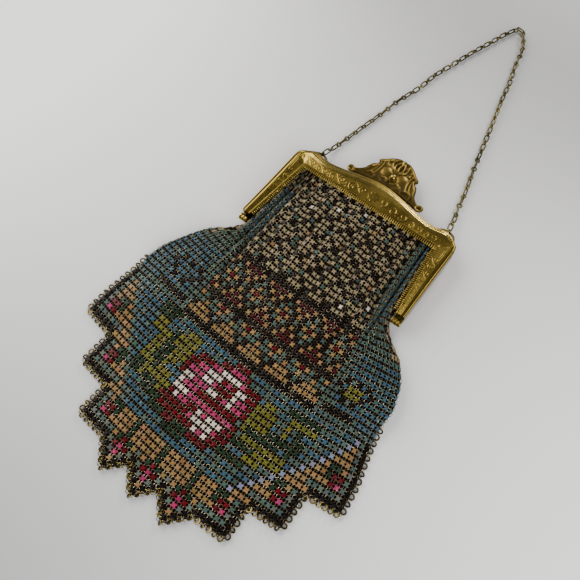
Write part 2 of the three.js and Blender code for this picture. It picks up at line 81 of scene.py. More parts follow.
@dataclass
class Wire:
    """A shader socket that Python operators turn into Math nodes."""

    tree: bpy.types.NodeTree
    socket: bpy.types.NodeSocket

    def _math(self, operation: str, *values: "Wire | float", clamp: bool = False) -> "Wire":
        """Adds one Math node.

        Args:
            operation: The node's operation.
            values: Its inputs in order, wires or plain numbers.
            clamp: Whether the result is held between 0 and 1.

        Returns:
            The node's output.
        """
        node = self.tree.nodes.new("ShaderNodeMath")
        node.operation = operation
        node.use_clamp = clamp
        for place, value in enumerate(values):
            if isinstance(value, Wire):
                self.tree.links.new(value.socket, node.inputs[place])
            else:
                node.inputs[place].default_value = value
        return Wire(self.tree, node.outputs[0])

    def __add__(self, other: "Wire | float") -> "Wire":
        """Sum."""
        return self._math("ADD", self, other)

    def __radd__(self, other: float) -> "Wire":
        """Reflected sum."""
        return self._math("ADD", other, self)

    def __sub__(self, other: "Wire | float") -> "Wire":
        """Difference."""
        return self._math("SUBTRACT", self, other)

    def __rsub__(self, other: float) -> "Wire":
        """Reflected difference."""
        return self._math("SUBTRACT", other, self)

    def __mul__(self, other: "Wire | float") -> "Wire":
        """Product."""
        return self._math("MULTIPLY", self, other)

    def __rmul__(self, other: float) -> "Wire":
        """Reflected product."""
        return self._math("MULTIPLY", other, self)

    def __pow__(self, other: "Wire | float") -> "Wire":
        """Power."""
        return self._math("POWER", self, other)

    def size(self) -> "Wire":
        """The value without its sign."""
        return self._math("ABSOLUTE", self)

    def held(self) -> "Wire":
        """The value held between 0 and 1."""
        return self._math("ADD", self, 0.0, clamp=True)

    def step(self, low: float, high: float) -> "Wire":
        """A smooth step from 0 at low to 1 at high."""
        share = ((self - low) * (1.0 / (high - low))).held()
        return share * share * (3.0 - 2.0 * share)


class Shader:
    """One material's node tree, with a short way to add nodes and mixes."""

    def __init__(self, name: str) -> None:
        """Starts an empty material with a Principled shader and its output.

        Args:
            name: The material's name.
        """
        self.material = bpy.data.materials.new(name)
        self.material.use_nodes = True
        self.tree = self.material.node_tree
        self.tree.nodes.clear()
        self.surface = self.tree.nodes.new("ShaderNodeBsdfPrincipled")
        out = self.tree.nodes.new("ShaderNodeOutputMaterial")
        self.tree.links.new(self.surface.outputs[0], out.inputs["Surface"])

    def node(self, kind: str, settings: dict | None = None, **inputs: object) -> bpy.types.Node:
        """Adds any node.

        Args:
            kind: The node's type without the ShaderNode prefix.
            settings: Properties that are set before its sockets.
            inputs: Values or wires by socket name, with spaces as underscores.

        Returns:
            The node.
        """
        node = self.tree.nodes.new("ShaderNode" + kind)
        for key, value in (settings or {}).items():
            setattr(node, key, value)
        for key, value in inputs.items():
            socket = node.inputs[key.replace("_", " ")]
            self.feed(socket, value)
        return node

    def feed(self, socket: bpy.types.NodeSocket, value: object) -> None:
        """Links a wire to a socket, or sets the socket's own value.

        Args:
            socket: The socket that is fed.
            value: A wire or a plain value.
        """
        if isinstance(value, Wire):
            self.tree.links.new(value.socket, socket)
        else:
            socket.default_value = value

    def wire(self, node: bpy.types.Node, output: str | int = 0) -> Wire:
        """One output of a node as a wire."""
        return Wire(self.tree, node.outputs[output])

    def blend(self, share: Wire | float, first: object, second: object, kind: str = "MIX") -> Wire:
        """Mixes two colours.

        Args:
            share: How much of the second shows.
            first: A wire or an RGB triple.
            second: A wire or an RGB triple.
            kind: The mix's blend type.

        Returns:
            The mixed colour.
        """
        node = self.tree.nodes.new("ShaderNodeMix")
        node.data_type = "RGBA"
        node.blend_type = kind
        self.feed(node.inputs[0], share)
        for place, value in ((6, first), (7, second)):
            self.feed(node.inputs[place], value if isinstance(value, Wire) else (*value, 1.0))
        return Wire(self.tree, node.outputs[2])

    def noise(self, scale: float, detail: float = 3.0, roughness: float = 0.55) -> Wire:
        """Noise over the piece's own coordinates.

        Args:
            scale: Its turns per metre.
            detail: How many finer layers it has.
            roughness: How strong those are.

        Returns:
            The noise, about 0 to 1.
        """
        place = self.wire(self.node("TexCoord"), "Object")
        node = self.node("TexNoise", Vector=place, Scale=scale, Detail=detail, Roughness=roughness)
        return self.wire(node, 0)

    def bump(self, height: Wire, strength: float, distance: float) -> None:
        """Feeds a bump to the shader's normal."""
        node = self.node("Bump", Height=height, Strength=strength, Distance=distance)
        self.tree.links.new(node.outputs[0], self.surface.inputs["Normal"])

    def finish(self, **inputs: object) -> bpy.types.Material:
        """Feeds the Principled shader.

        Args:
            inputs: Values or wires by socket name, with spaces as underscores.

        Returns:
            The material.
        """
        for key, value in inputs.items():
            self.feed(self.surface.inputs[key.replace("_", " ")], value)
        return self.material


# Finishes


@dataclass(frozen=True)
class Brass:
    """Gilt or aged brass: warm metal with patina in its hollows and rubbed heights, and painted shade
    wherever a piece's relief attribute holds it.
    """

    name: str
    bright: str = "99813a"
    worn: str = "c8b462"
    # The dark colour of the hollows: patina, and painted shade where the relief attribute holds it.
    tarnish_and_shade: str = "2c1f08"
    roughness: float = 0.3
    spread: float = 0.14
    # How strongly low places darken: patina, and painted shade where the relief attribute holds it.
    tarnish_and_shade_strength: float = 0.75
    grain: float = 0.25
    relief: bool = False
    cloud_scale: float = 90.0
    grain_scale: float = 1400.0
    grain_height: float = 0.0001
    rub: float = 0.3
    speckle: float = 0.35
    tarnish_roughness: float = 0.22

    def make(self) -> bpy.types.Material:
        """Builds the material; with relief it reads the piece's own relief attribute, which on the crest also
        holds painted shade.

        Returns:
            The material.
        """
        sh = Shader(self.name)
        cloud = sh.noise(self.cloud_scale, 4.0)
        fine = sh.noise(self.grain_scale, 3.0)
        if self.relief:
            depth = sh.wire(sh.node("Attribute", {"attribute_name": "relief"}), "Fac")
            # Low relief values turn towards the dark patina colour: patina in the hollows, and on the crest
            # also painted shade at its foot and under its ball.
            hollow = (1.0 - depth.step(0.05, 0.55)) * (0.55 + 0.9 * (cloud - 0.25))
            rubbed = depth.step(0.6, 1.0)
        else:
            hollow = cloud.step(0.42, 0.72)
            rubbed = 1.0 - cloud.step(0.3, 0.5)
        colour = sh.blend((hollow * self.tarnish_and_shade_strength).held(), linear(self.bright), linear(self.tarnish_and_shade))
        colour = sh.blend((rubbed * self.rub).held(), colour, linear(self.worn))
        speckles = sh.blend(fine.step(0.3, 0.7), (0.6, 0.6, 0.6), (1, 1, 1))
        colour = sh.blend(self.speckle, colour, speckles, "MULTIPLY")
        rough = self.roughness + self.spread * (cloud - 0.5) * 2.0 + self.tarnish_roughness * hollow.held()
        sh.bump(fine, self.grain, self.grain_height)
        return sh.finish(Base_Color=colour, Roughness=rough.held(), Metallic=1.0)


@dataclass(frozen=True)
class TileEnamel:
    """Enamelled tiles: a coloured face that wears to pale metal on arms and edges."""

    name: str = "enamelled_tiles"
    metal: str = "9c8f6c"
    roughness: float = 0.32
    cloud_scale: float = 2600.0
    # Where a tile's arms turn to bare metal, as the sum of its two flat coordinates.
    arm_ends: tuple[float, float] = (1.76, 1.9)
    arm_bare: float = 0.6
    chip_ends: tuple[float, float] = (0.92, 0.98)
    chip_wear: float = 0.34
    dull: tuple[float, float, float] = (0.72, 0.72, 0.72)
    lively: tuple[float, float, float] = (1.1, 1.1, 1.1)
    shine: float = 0.11
    bump_height: float = 0.00008

    def make(self) -> bpy.types.Material:
        """Builds the material from each tile's own colour and its own coordinates.

        Returns:
            The material.
        """
        sh = Shader(self.name)
        # The enamel attribute holds each tile's colour, with painted shade on its underside and lower rim.
        tint = sh.node("Attribute", {"attribute_name": "enamel"})
        colour, wear = sh.wire(tint, "Color"), sh.wire(tint, "Alpha")
        place = sh.node("SeparateXYZ", Vector=sh.wire(sh.node("UVMap", {"uv_map": "tile"}), 0))
        across, along = sh.wire(place, 0).size(), sh.wire(place, 1).size()
        reach = across + along
        cloud = sh.noise(self.cloud_scale, 2.0)
        arms = (reach + 0.35 * (cloud - 0.5)).step(*self.arm_ends)
        chips = (cloud + wear * self.chip_wear).step(*self.chip_ends)
        bare = (arms * self.arm_bare + chips).held()
        shade = sh.blend(cloud.step(0.25, 0.75), self.dull, self.lively)
        body = sh.blend(1.0, colour, shade, "MULTIPLY")
        face = sh.blend(bare, body, linear(self.metal))
        rough = self.roughness + 0.2 * (cloud - 0.5) + 0.05 * bare
        sh.bump(cloud, 0.25, self.bump_height)
        return sh.finish(Base_Color=face, Roughness=rough, Metallic=bare * 0.9, Specular_IOR_Level=self.shine)


@dataclass(frozen=True)
class Cloth:
    """The plain dark cloth of the sheets that stand in for the shade inside the pouch: painted shade."""

    name: str = "painted_shade_sheets"
    tone: str = "0d0907"
    weave_scale: float = 900.0

    def make(self) -> bpy.types.Material:
        """Builds the material.

        Returns:
            The material.
        """
        sh = Shader(self.name)
        shade = sh.blend(sh.noise(self.weave_scale, 2.0), (0.6, 0.6, 0.6), (1.2, 1.2, 1.2))
        return sh.finish(Base_Color=sh.blend(1.0, linear(self.tone), shade, "MULTIPLY"), Roughness=0.95,
                         Specular_IOR_Level=0.05)


@dataclass(frozen=True)
class PaintedLightPaper:
    """The pale surface that the purse lies on, with painted light and shade: lighter at two corners of the
    picture, darker at the other two.
    """

    name: str = "pale_surface_painted_light"
    tone: str = "dddcda"
    painted_shade_tone: float = 0.45
    painted_light_tone: float = 1.25
    # How fast the painted light and shade change, per square metre away from the middle.
    painted_light_sweep: float = 55.0
    middle: tuple[float, float] = (-0.0035, -0.0445)
    # The picture's two directions on the surface, and the distances at which the painted light and shade
    # fade.
    across_way: tuple[float, float] = (0.784, 0.62)
    up_way: tuple[float, float] = (0.555, 0.72)
    fade: tuple[float, float] = (0.16, 0.42)

    def make(self) -> bpy.types.Material:
        """Builds the material.

        Returns:
            The material.
        """
        sh = Shader(self.name)
        place = sh.wire(sh.node("TexCoord"), "Object")
        parts = sh.node("SeparateXYZ", Vector=place)
        x, y = sh.wire(parts, 0) - self.middle[0], sh.wire(parts, 1) - self.middle[1]
        across = self.across_way[0] * x + self.across_way[1] * y
        up = self.up_way[1] * y - self.up_way[0] * x
        # Painted light and shade: lighter in two opposite quarters around the middle, darker in the other
        # two, fading to an even tone further away.
        share = (0.0 - across * up * self.painted_light_sweep).step(-0.9, 0.9)
        near = 1.0 - ((x * x + y * y) ** 0.5).step(*self.fade)
        tone = np.array(linear(self.tone))
        shade = 0.5 + (share - 0.5) * near
        colour = sh.blend(shade, tuple(tone * self.painted_shade_tone), tuple(tone * self.painted_light_tone))
        return sh.finish(Base_Color=colour, Roughness=0.85)


# Mesh workbench


@dataclass
class Form:
    """One small shape, modelled once and then copied many times."""

    points: Array
    faces: list[tuple[int, ...]]


class Bench:
    """The modelling steps that several pieces share."""

    @staticmethod
    def clear() -> None:
        """Leaves edit mode and deselects everything."""
        if bpy.context.object and bpy.context.object.mode != "OBJECT":
            bpy.ops.object.mode_set(mode="OBJECT")
        bpy.ops.object.select_all(action="DESELECT")

    @staticmethod
    def only(obj: bpy.types.Object) -> None:
        """Selects one object alone and makes it active.

        Args:
            obj: The object.
        """
        Bench.clear()
        obj.select_set(True)
        bpy.context.view_layer.objects.active = obj

    @staticmethod
    def modify(obj: bpy.types.Object, kind: str, **settings: object) -> None:
        """Adds a modifier and applies it.

        Args:
            obj: The piece.
            kind: The modifier's type.
            settings: Its properties.
        """
        Bench.only(obj)
        modifier = obj.modifiers.new(kind.lower(), kind)
        for key, value in settings.items():
            setattr(modifier, key, value)
        bpy.ops.object.modifier_apply(modifier=modifier.name)

    @staticmethod
    def tidy(obj: bpy.types.Object, distance: float = 1e-6) -> None:
        """Merges doubles and turns every face outwards.

        Args:
            obj: The piece.
            distance: How near two points are one, in metres.
        """
        Bench.only(obj)
        bpy.ops.object.mode_set(mode="EDIT")
        bpy.ops.mesh.select_all(action="SELECT")
        bpy.ops.mesh.remove_doubles(threshold=distance)
        bpy.ops.mesh.normals_make_consistent(inside=False)
        bpy.ops.object.mode_set(mode="OBJECT")

    @staticmethod
    def smooth_over(obj: bpy.types.Object, degrees: float) -> None:
        """Shades faces smooth across edges softer than the angle."""
        Bench.only(obj)
        bpy.ops.object.shade_smooth_by_angle(angle=math.radians(degrees))

    @staticmethod
    def join(name: str, pieces: Sequence[bpy.types.Object]) -> bpy.types.Object:
        """Joins pieces into the first one and names it.

        Args:
            name: The joined piece's name.
            pieces: The pieces.

        Returns:
            The joined piece.
        """
        Bench.clear()
        for piece in pieces:
            piece.select_set(True)
        bpy.context.view_layer.objects.active = pieces[0]
        bpy.ops.object.join()
        pieces[0].name = pieces[0].data.name = name
        return pieces[0]

    @staticmethod
    def as_form(obj: bpy.types.Object) -> Form:
        """Takes a modelled object's shape and removes the object.

        Args:
            obj: The object.

        Returns:
            Its shape.
        """
        mesh = obj.data
        points = np.array([tuple(obj.matrix_world @ v.co) for v in mesh.vertices])
        faces = [tuple(p.vertices) for p in mesh.polygons]
        bpy.data.objects.remove(obj)
        return Form(points, faces)

    @staticmethod
    def build(name: str, points: Array, faces: Sequence[Sequence[int]]) -> bpy.types.Object:
        """Makes an object from purse millimetres and its faces.

        Args:
            name: The piece's name.
            points: Rows of x, y and z.
            faces: Vertex numbers of each face.

        Returns:
            The object, at the origin.
        """
        mesh = bpy.data.meshes.new(name)
        mesh.from_pydata(in_row(points).tolist(), [], faces)
        mesh.update()
        obj = bpy.data.objects.new(name, mesh)
        bpy.context.scene.collection.objects.link(obj)
        return obj

    @staticmethod
    def spread(
        name: str, form: Form, centres: Array, across: Array, along: Array, above: Array
    ) -> bpy.types.Object:
        """Copies a form to many places as one joined mesh.

        Args:
            name: The piece's name.
            form: The shape that is copied, in its own x, y and z.
            centres: Where each copy's origin stands, in purse millimetres.
            across: What each copy's x unit becomes.
            along: What each copy's y unit becomes.
            above: What each copy's z unit becomes.

        Returns:
            The joined object.
        """
        x, y, z = (form.points[None, :, i, None] for i in range(3))
        points = centres[:, None] + x * across[:, None] + y * along[:, None] + z * above[:, None]
        count = len(form.points)
        faces = [tuple(v + k * count for v in f) for k in range(len(centres)) for f in form.faces]
        return Bench.build(name, points.reshape(-1, 3), faces)

    @staticmethod
    def sheet(name: str, grid: Array, loop: bool = False, ends: bool = False) -> bpy.types.Object:
        """Makes a sheet of quads from a grid of purse millimetres.

        Args:
            name: The piece's name.
            grid: Rows, columns and x, y, z.
            loop: Whether each row closes on itself.
            ends: Whether the first and the last row are faces of their own.

        Returns:
            The object.
        """
        rows, columns = grid.shape[:2]
        number = np.arange(rows * columns).reshape(rows, columns)
        if loop:
            number = np.hstack([number, number[:, :1]])
        a, b, c, d = number[:-1, :-1], number[:-1, 1:], number[1:, 1:], number[1:, :-1]
        faces = np.stack([a, b, c, d], -1).reshape(-1, 4).tolist()
        if ends:
            faces += [list(range(columns)), list(range((rows - 1) * columns, rows * columns))]
        return Bench.build(name, grid.reshape(-1, 3), faces)

    @staticmethod
    def tube(
        name: str, line: Array, radius: Array | float, sides: int = 8, flat: float = 1.0
    ) -> bpy.types.Object:
        """Makes a round tube along a line of purse millimetres, closed at both ends.

        Args:
            name: The piece's name.
            line: The points that its middle follows.
            radius: Its radius, one number or one a point.
            sides: How many sides it has.
            flat: How thick it is in z, as a share of its width.

        Returns:
            The object.
        """
        line = np.asarray(line, float)
        reach = np.broadcast_to(radius, (len(line),))[:, None, None]
        way = np.gradient(line, axis=0)
        way /= np.linalg.norm(way, axis=1)[:, None]
        side = np.cross(way, (0.0, 0.0, 1.0))
        size = np.linalg.norm(side, axis=1)[:, None]
        side = np.where(size > 1e-6, side / np.maximum(size, 1e-6), (1.0, 0.0, 0.0))
        up = np.cross(side, way)
        turn = np.linspace(0, 2 * np.pi, sides, endpoint=False)[None, :, None]
        ring = reach * (np.cos(turn) * side[:, None] + np.sin(turn) * up[:, None])
        grid = line[:, None] + ring * (1.0, 1.0, flat)
        ends = [np.repeat(line[i][None, None], sides, 1) for i in (0, -1)]
        grid = np.concatenate([ends[0], grid, ends[1]], 0)
        obj = Bench.sheet(name, grid, loop=True)
        Bench.tidy(obj, 1e-7)
        return obj

    @staticmethod
    def dress(
        obj: bpy.types.Object, material: bpy.types.Material, body: str, slot: str, *nodes: str
    ) -> bpy.types.Object:
        """Gives a piece its material and its body, and hides the CAD nodes that it replaces.

        Args:
            obj: The piece.
            material: Its finish.
            body: The body that it rides on.
            slot: Its material slot; not used.
            nodes: The CAD nodes that it replaces, if any.

        Returns:
            The piece.
        """
        obj.data.materials.clear()
        obj.data.materials.append(material)
        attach(obj, body)
        if nodes:
            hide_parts(*nodes)
        LOG.info("%s: %d faces", obj.name, len(obj.data.polygons))
        return obj


# Enamel colours


class Enamel(Enum):
    """The enamel colours, each with its display colour."""

    BLUE = "2e4752"
    TEAL = "3b4b45"
    GREY = "4e534a"
    TAN = "7b5e3a"
    CREAM = "796b50"
    OLIVE = "56551c"
    LEAF = "192a1b"
    RED = "4f0b12"
    WINE = "3c0e12"
    PINK = "8a284c"
    WHITE = "bcaca0"
    LILAC = "696b7c"
    DARK = "130b09"
    BLACK = "0f0909"


class Blot(NamedTuple):
    """An oval of one colour on the mesh, in columns and rows."""

    column: float
    row: float
    wide: float
    tall: float
    lean: float
    colour: Enamel


@dataclass(frozen=True)
class Chart:
    """Which enamel each tile has, worked out from its column and its row."""

    columns: int = 26
    rows: int = 53
    repeat: int = 6
    step_rows: int = 5
    panel: int = 14
    line_row: int = 22
    # Rows at which the field, the sides' diaper, the gathers and the diaper above them start.
    field_row: int = 8
    side_row: int = 34
    gather_row: int = 38
    top_row: int = 49
    scroll_place: tuple[float, float] = (19.0, 26.5)
    # Half a repeat of the panel, from its axis outwards, row by row upwards.
    band: tuple[str, ...] = (
        "TTTD", "TTDG", "TGGT", "DGTR", "DDDD", "DTWW", "GDTW",
        "TGDT", "RTDG", "TGDT", "GDTW", "DTWW", "DDDD",
    )
    diaper: tuple[str, ...] = ("CCDDC", "CDCCD", "GCCCC", "CDCCD")
    letters: dict[str, Enamel] = field(default_factory=lambda: {
        "T": Enamel.TAN, "D": Enamel.DARK, "G": Enamel.TEAL,
        "R": Enamel.RED, "W": Enamel.WINE, "C": Enamel.CREAM,
    })
    leaves: tuple[Blot, ...] = (
        Blot(-9.4, 18.2, 2.2, 2.4, 0, Enamel.OLIVE),
        Blot(-13.3, 16.4, 1.7, 2.4, 0, Enamel.OLIVE),
        Blot(-10.6, 13.2, 3.9, 1.9, -12, Enamel.OLIVE),
        Blot(-15.4, 18.8, 0.9, 1.9, 0, Enamel.OLIVE),
        Blot(-15.9, 20.6, 2.4, 0.7, 0, Enamel.LEAF),
        Blot(-11.6, 16.6, 0.9, 3.0, 12, Enamel.LEAF),
        Blot(-8.0, 11.0, 3.6, 0.8, -14, Enamel.LEAF),
        Blot(-13.6, 12.6, 1.2, 0.8, 0, Enamel.LEAF),
        Blot(8.4, 16.4, 2.2, 2.8, -10, Enamel.OLIVE),
        Blot(12.0, 13.4, 3.8, 1.5, 10, Enamel.OLIVE),
        Blot(13.1, 17.2, 0.9, 2.0, 0, Enamel.OLIVE),
        Blot(15.6, 19.0, 2.2, 0.8, 0, Enamel.OLIVE),
        Blot(11.4, 15.4, 3.8, 0.8, 8, Enamel.LEAF),
        Blot(7.8, 13.1, 2.4, 0.9, 0, Enamel.LEAF),
        Blot(7.2, 10.9, 3.2, 0.7, 6, Enamel.LEAF),
        Blot(14.8, 20.3, 3.2, 0.7, 0, Enamel.LEAF),
        Blot(15.4, 16.6, 0.9, 1.8, 0, Enamel.LEAF),
        Blot(-1.6, 9.6, 3.6, 0.7, 0, Enamel.LEAF),
    )
    rose: tuple[Blot, ...] = (
        Blot(-0.6, 15.3, 6.4, 4.7, 0, Enamel.RED),
        Blot(-4.6, 17.0, 2.9, 2.5, 0, Enamel.RED),
        Blot(4.1, 17.4, 2.9, 2.6, 0, Enamel.RED),
        Blot(3.4, 12.6, 3.2, 2.5, 0, Enamel.RED),
        Blot(-3.8, 12.0, 3.4, 2.1, 0, Enamel.RED),
        Blot(0.6, 20.0, 2.6, 1.2, 0, Enamel.RED),
        Blot(2.2, 10.6, 2.2, 1.2, 0, Enamel.RED),
        Blot(-0.6, 15.5, 6.0, 4.2, 0, Enamel.PINK),
        Blot(0.9, 19.7, 1.6, 0.9, 0, Enamel.PINK),
        Blot(0.6, 17.6, 4.0, 2.1, 0, Enamel.WHITE),
        Blot(-5.2, 14.4, 1.3, 2.6, 30, Enamel.WHITE),
        Blot(0.9, 17.4, 1.4, 1.6, 20, Enamel.RED),
        Blot(1.0, 18.1, 0.6, 0.6, 0, Enamel.WHITE),
        Blot(1.9, 15.0, 4.0, 0.6, 0, Enamel.RED),
        Blot(2.2, 12.2, 2.5, 1.7, 0, Enamel.WHITE),
        Blot(-3.0, 11.6, 2.4, 0.9, -14, Enamel.RED),
        Blot(-1.6, 13.0, 1.0, 0.7, 0, Enamel.RED),
    )

    @staticmethod
    def scattered(column: int, row: int, steps: tuple[int, int], period: int) -> int:
        """A number below the period that looks chosen at random, the same at each run."""
        return (column * steps[0] + row * steps[1]) % period

    def tooth(self, column: int) -> int:
        """How far a column lies from its tooth's middle, or from a repeat's axis."""
        return column - self.repeat * round(column / self.repeat)

    def exists(self, column: int, row: int) -> bool:
        """Whether the stepped lower edge leaves a tile here.

        Args:
            column: The tile's column.
            row: The tile's row.

        Returns:
            True if it does.
        """
        away, off = abs(column), abs(self.tooth(column))
        if not 0 <= row <= self.rows:
            return False
        if row < 3:
            return away <= self.repeat + row and off <= row
        steps = min(2, (row - 3) // self.step_rows)
        return away <= self.columns - 2 * self.repeat + steps * self.repeat

    def blotted(self, blots: Sequence[Blot], column: int, row: int) -> Enamel | None:
        """The last oval that covers a tile, if one does.

        Args:
            blots: The ovals, in order.
            column: The tile's column.
            row: The tile's row.

        Returns:
            Its colour, or None.
        """
        found = None
        for blot in blots:
            angle = math.radians(blot.lean)
            x, y = column - blot.column, row - blot.row
            u = x * math.cos(angle) + y * math.sin(angle)
            v = y * math.cos(angle) - x * math.sin(angle)
            if (u / blot.wide) ** 2 + (v / blot.tall) ** 2 <= 1.0:
                found = blot.colour
        return found

    def border(self, column: int, row: int) -> Enamel:
        """The stepped border, its corner flowers and the three teeth.

        Args:
            column: The tile's column.
            row: The tile's row.

        Returns:
            The tile's enamel.
        """
        away, off = abs(column), abs(self.tooth(column))
        steps = min(2, max(0, (row - 3) // self.step_rows))
        x, y = away - steps * self.repeat, row - steps * self.step_rows
        if row < 3:
            inner = (Enamel.TAN, Enamel.GREY, Enamel.GREY)[row - 1]
            middle = (Enamel.BLACK, Enamel.TAN, Enamel.PINK)[row]
            return middle if off == 0 else Enamel.BLACK if off == row else inner
        if row in (3, 4) and away <= 8:
            line = {3: (Enamel.PINK, Enamel.RED, Enamel.GREY, Enamel.BLACK),
                    4: (Enamel.RED, Enamel.LEAF, Enamel.TAN, Enamel.GREY)}[row]
            return line[off]
        if x >= 14 or y == 3 and x >= 9:
            return Enamel.BLACK
        if x == 13 or y == 4 and x >= 8:
            return Enamel.TEAL if (column + row) % 3 else Enamel.GREY
        if x in (11, 12) and y in (5, 6):
            return Enamel.PINK if (x, y) == (12, 5) else Enamel.RED
        if (x, y) in ((10, 6), (10, 7), (11, 7)) or steps == 0 and off == 0 and away < 10:
            return Enamel.LEAF
        return Enamel.TAN

    def lozenge(self, column: int, row: int) -> Enamel:
        """The small repeat of the upper panel, with a few pale tiles as painted glints and an odd tile of
        another colour here and there.

        Args:
            column: The tile's column.
            row: The tile's row.

        Returns:
            The tile's enamel.
        """
        line = self.diaper[row % len(self.diaper)]
        letter = line[(column + 2) % len(line)]
        # Painted glints: a few scattered pale tiles stand in for tiles that catch a lamp.
        if self.scattered(column, row, (11, 17), 89) == 5:
            return Enamel.WHITE
        odd = self.scattered(column, row, (7, 13), 31)
        if letter == "C" and odd in (3, 19):
            letter = {3: "T", 19: "G"}[odd]
        return self.letters[letter]

    def flank(self, column: int, row: int) -> Enamel:
        """The blue sides above the field, with a scroll low down and the diaper high up.

        Args:
            column: The tile's column.
            row: The tile's row.

        Returns:
            The tile's enamel.
        """
        away = abs(column)
        if row == self.line_row + 1 and 16 <= away <= 21:
            return Enamel.BLACK
        if row >= self.side_row and away >= 24 or row >= self.top_row and column < 0:
            return self.lozenge(column, row)
        if row >= self.gather_row:
            bright = (column < 0 or away > 17) and (column + row) % 3
            return Enamel.DARK if away == 20 else Enamel.BLUE if bright else Enamel.TEAL
        ring = math.hypot((away - self.scroll_place[0]) / 1.5, row - self.scroll_place[1])
        if 1.4 < ring < 2.4 and (column + row) % 2:
            return Enamel.DARK
        if ring < 1.2 and column > 0:
            return Enamel.OLIVE
        plain = away < 17 or row > 32
        return Enamel.TEAL if plain or self.scattered(column, row, (2, 3), 7) < 2 else Enamel.BLUE

    def colour(self, column: int, row: int) -> Enamel:
        """The enamel of one tile.

        Args:
            column: The tile's column.
            row: The tile's row.

        Returns:
            The tile's enamel.
        """
        away = abs(column)
        if row > self.line_row:
            if away > self.panel:
                return self.flank(column, row)
            place = row - self.line_row - 1
            if place >= len(self.band):
                return self.lozenge(column, row)
            return self.letters[self.band[place][abs(self.tooth(column))]]
        if row == self.line_row:
            return Enamel.BLACK if away <= self.panel else Enamel.TEAL
        if row >= self.field_row and away <= row + 2:
            motif = self.blotted(self.rose, column, row) or self.blotted(self.leaves, column, row)
            if motif is Enamel.WHITE and self.scattered(column, row, (2, 1), 5) == 0:
                return Enamel.PINK
            if motif:
                return motif
            teal_share = 6 if column > 2 else 2
            return Enamel.TEAL if self.scattered(column, row, (3, 5), 11) < teal_share else Enamel.BLUE
        if row >= self.field_row and away == row + 3:
            return Enamel.LILAC if column > 0 else Enamel.TEAL
        return self.border(column, row)


# Pouch


class Level(NamedTuple):
    """One level of the pouch: its height, its reach to each side, its top, bottom and rounding."""

    y: float
    left: float
    right: float
    top: float
    bottom: float
    rounding: float


class Drape(NamedTuple):
    """Where the middle column and the panel's edges lie at a height."""

    y: float
    middle: float
    left: float
    right: float


class Fold(NamedTuple):
    """One gathered fold: where it starts at the bar, where it fades, and its depth."""

    top_x: float
    low_x: float
    low_y: float
    depth: float
    width: float


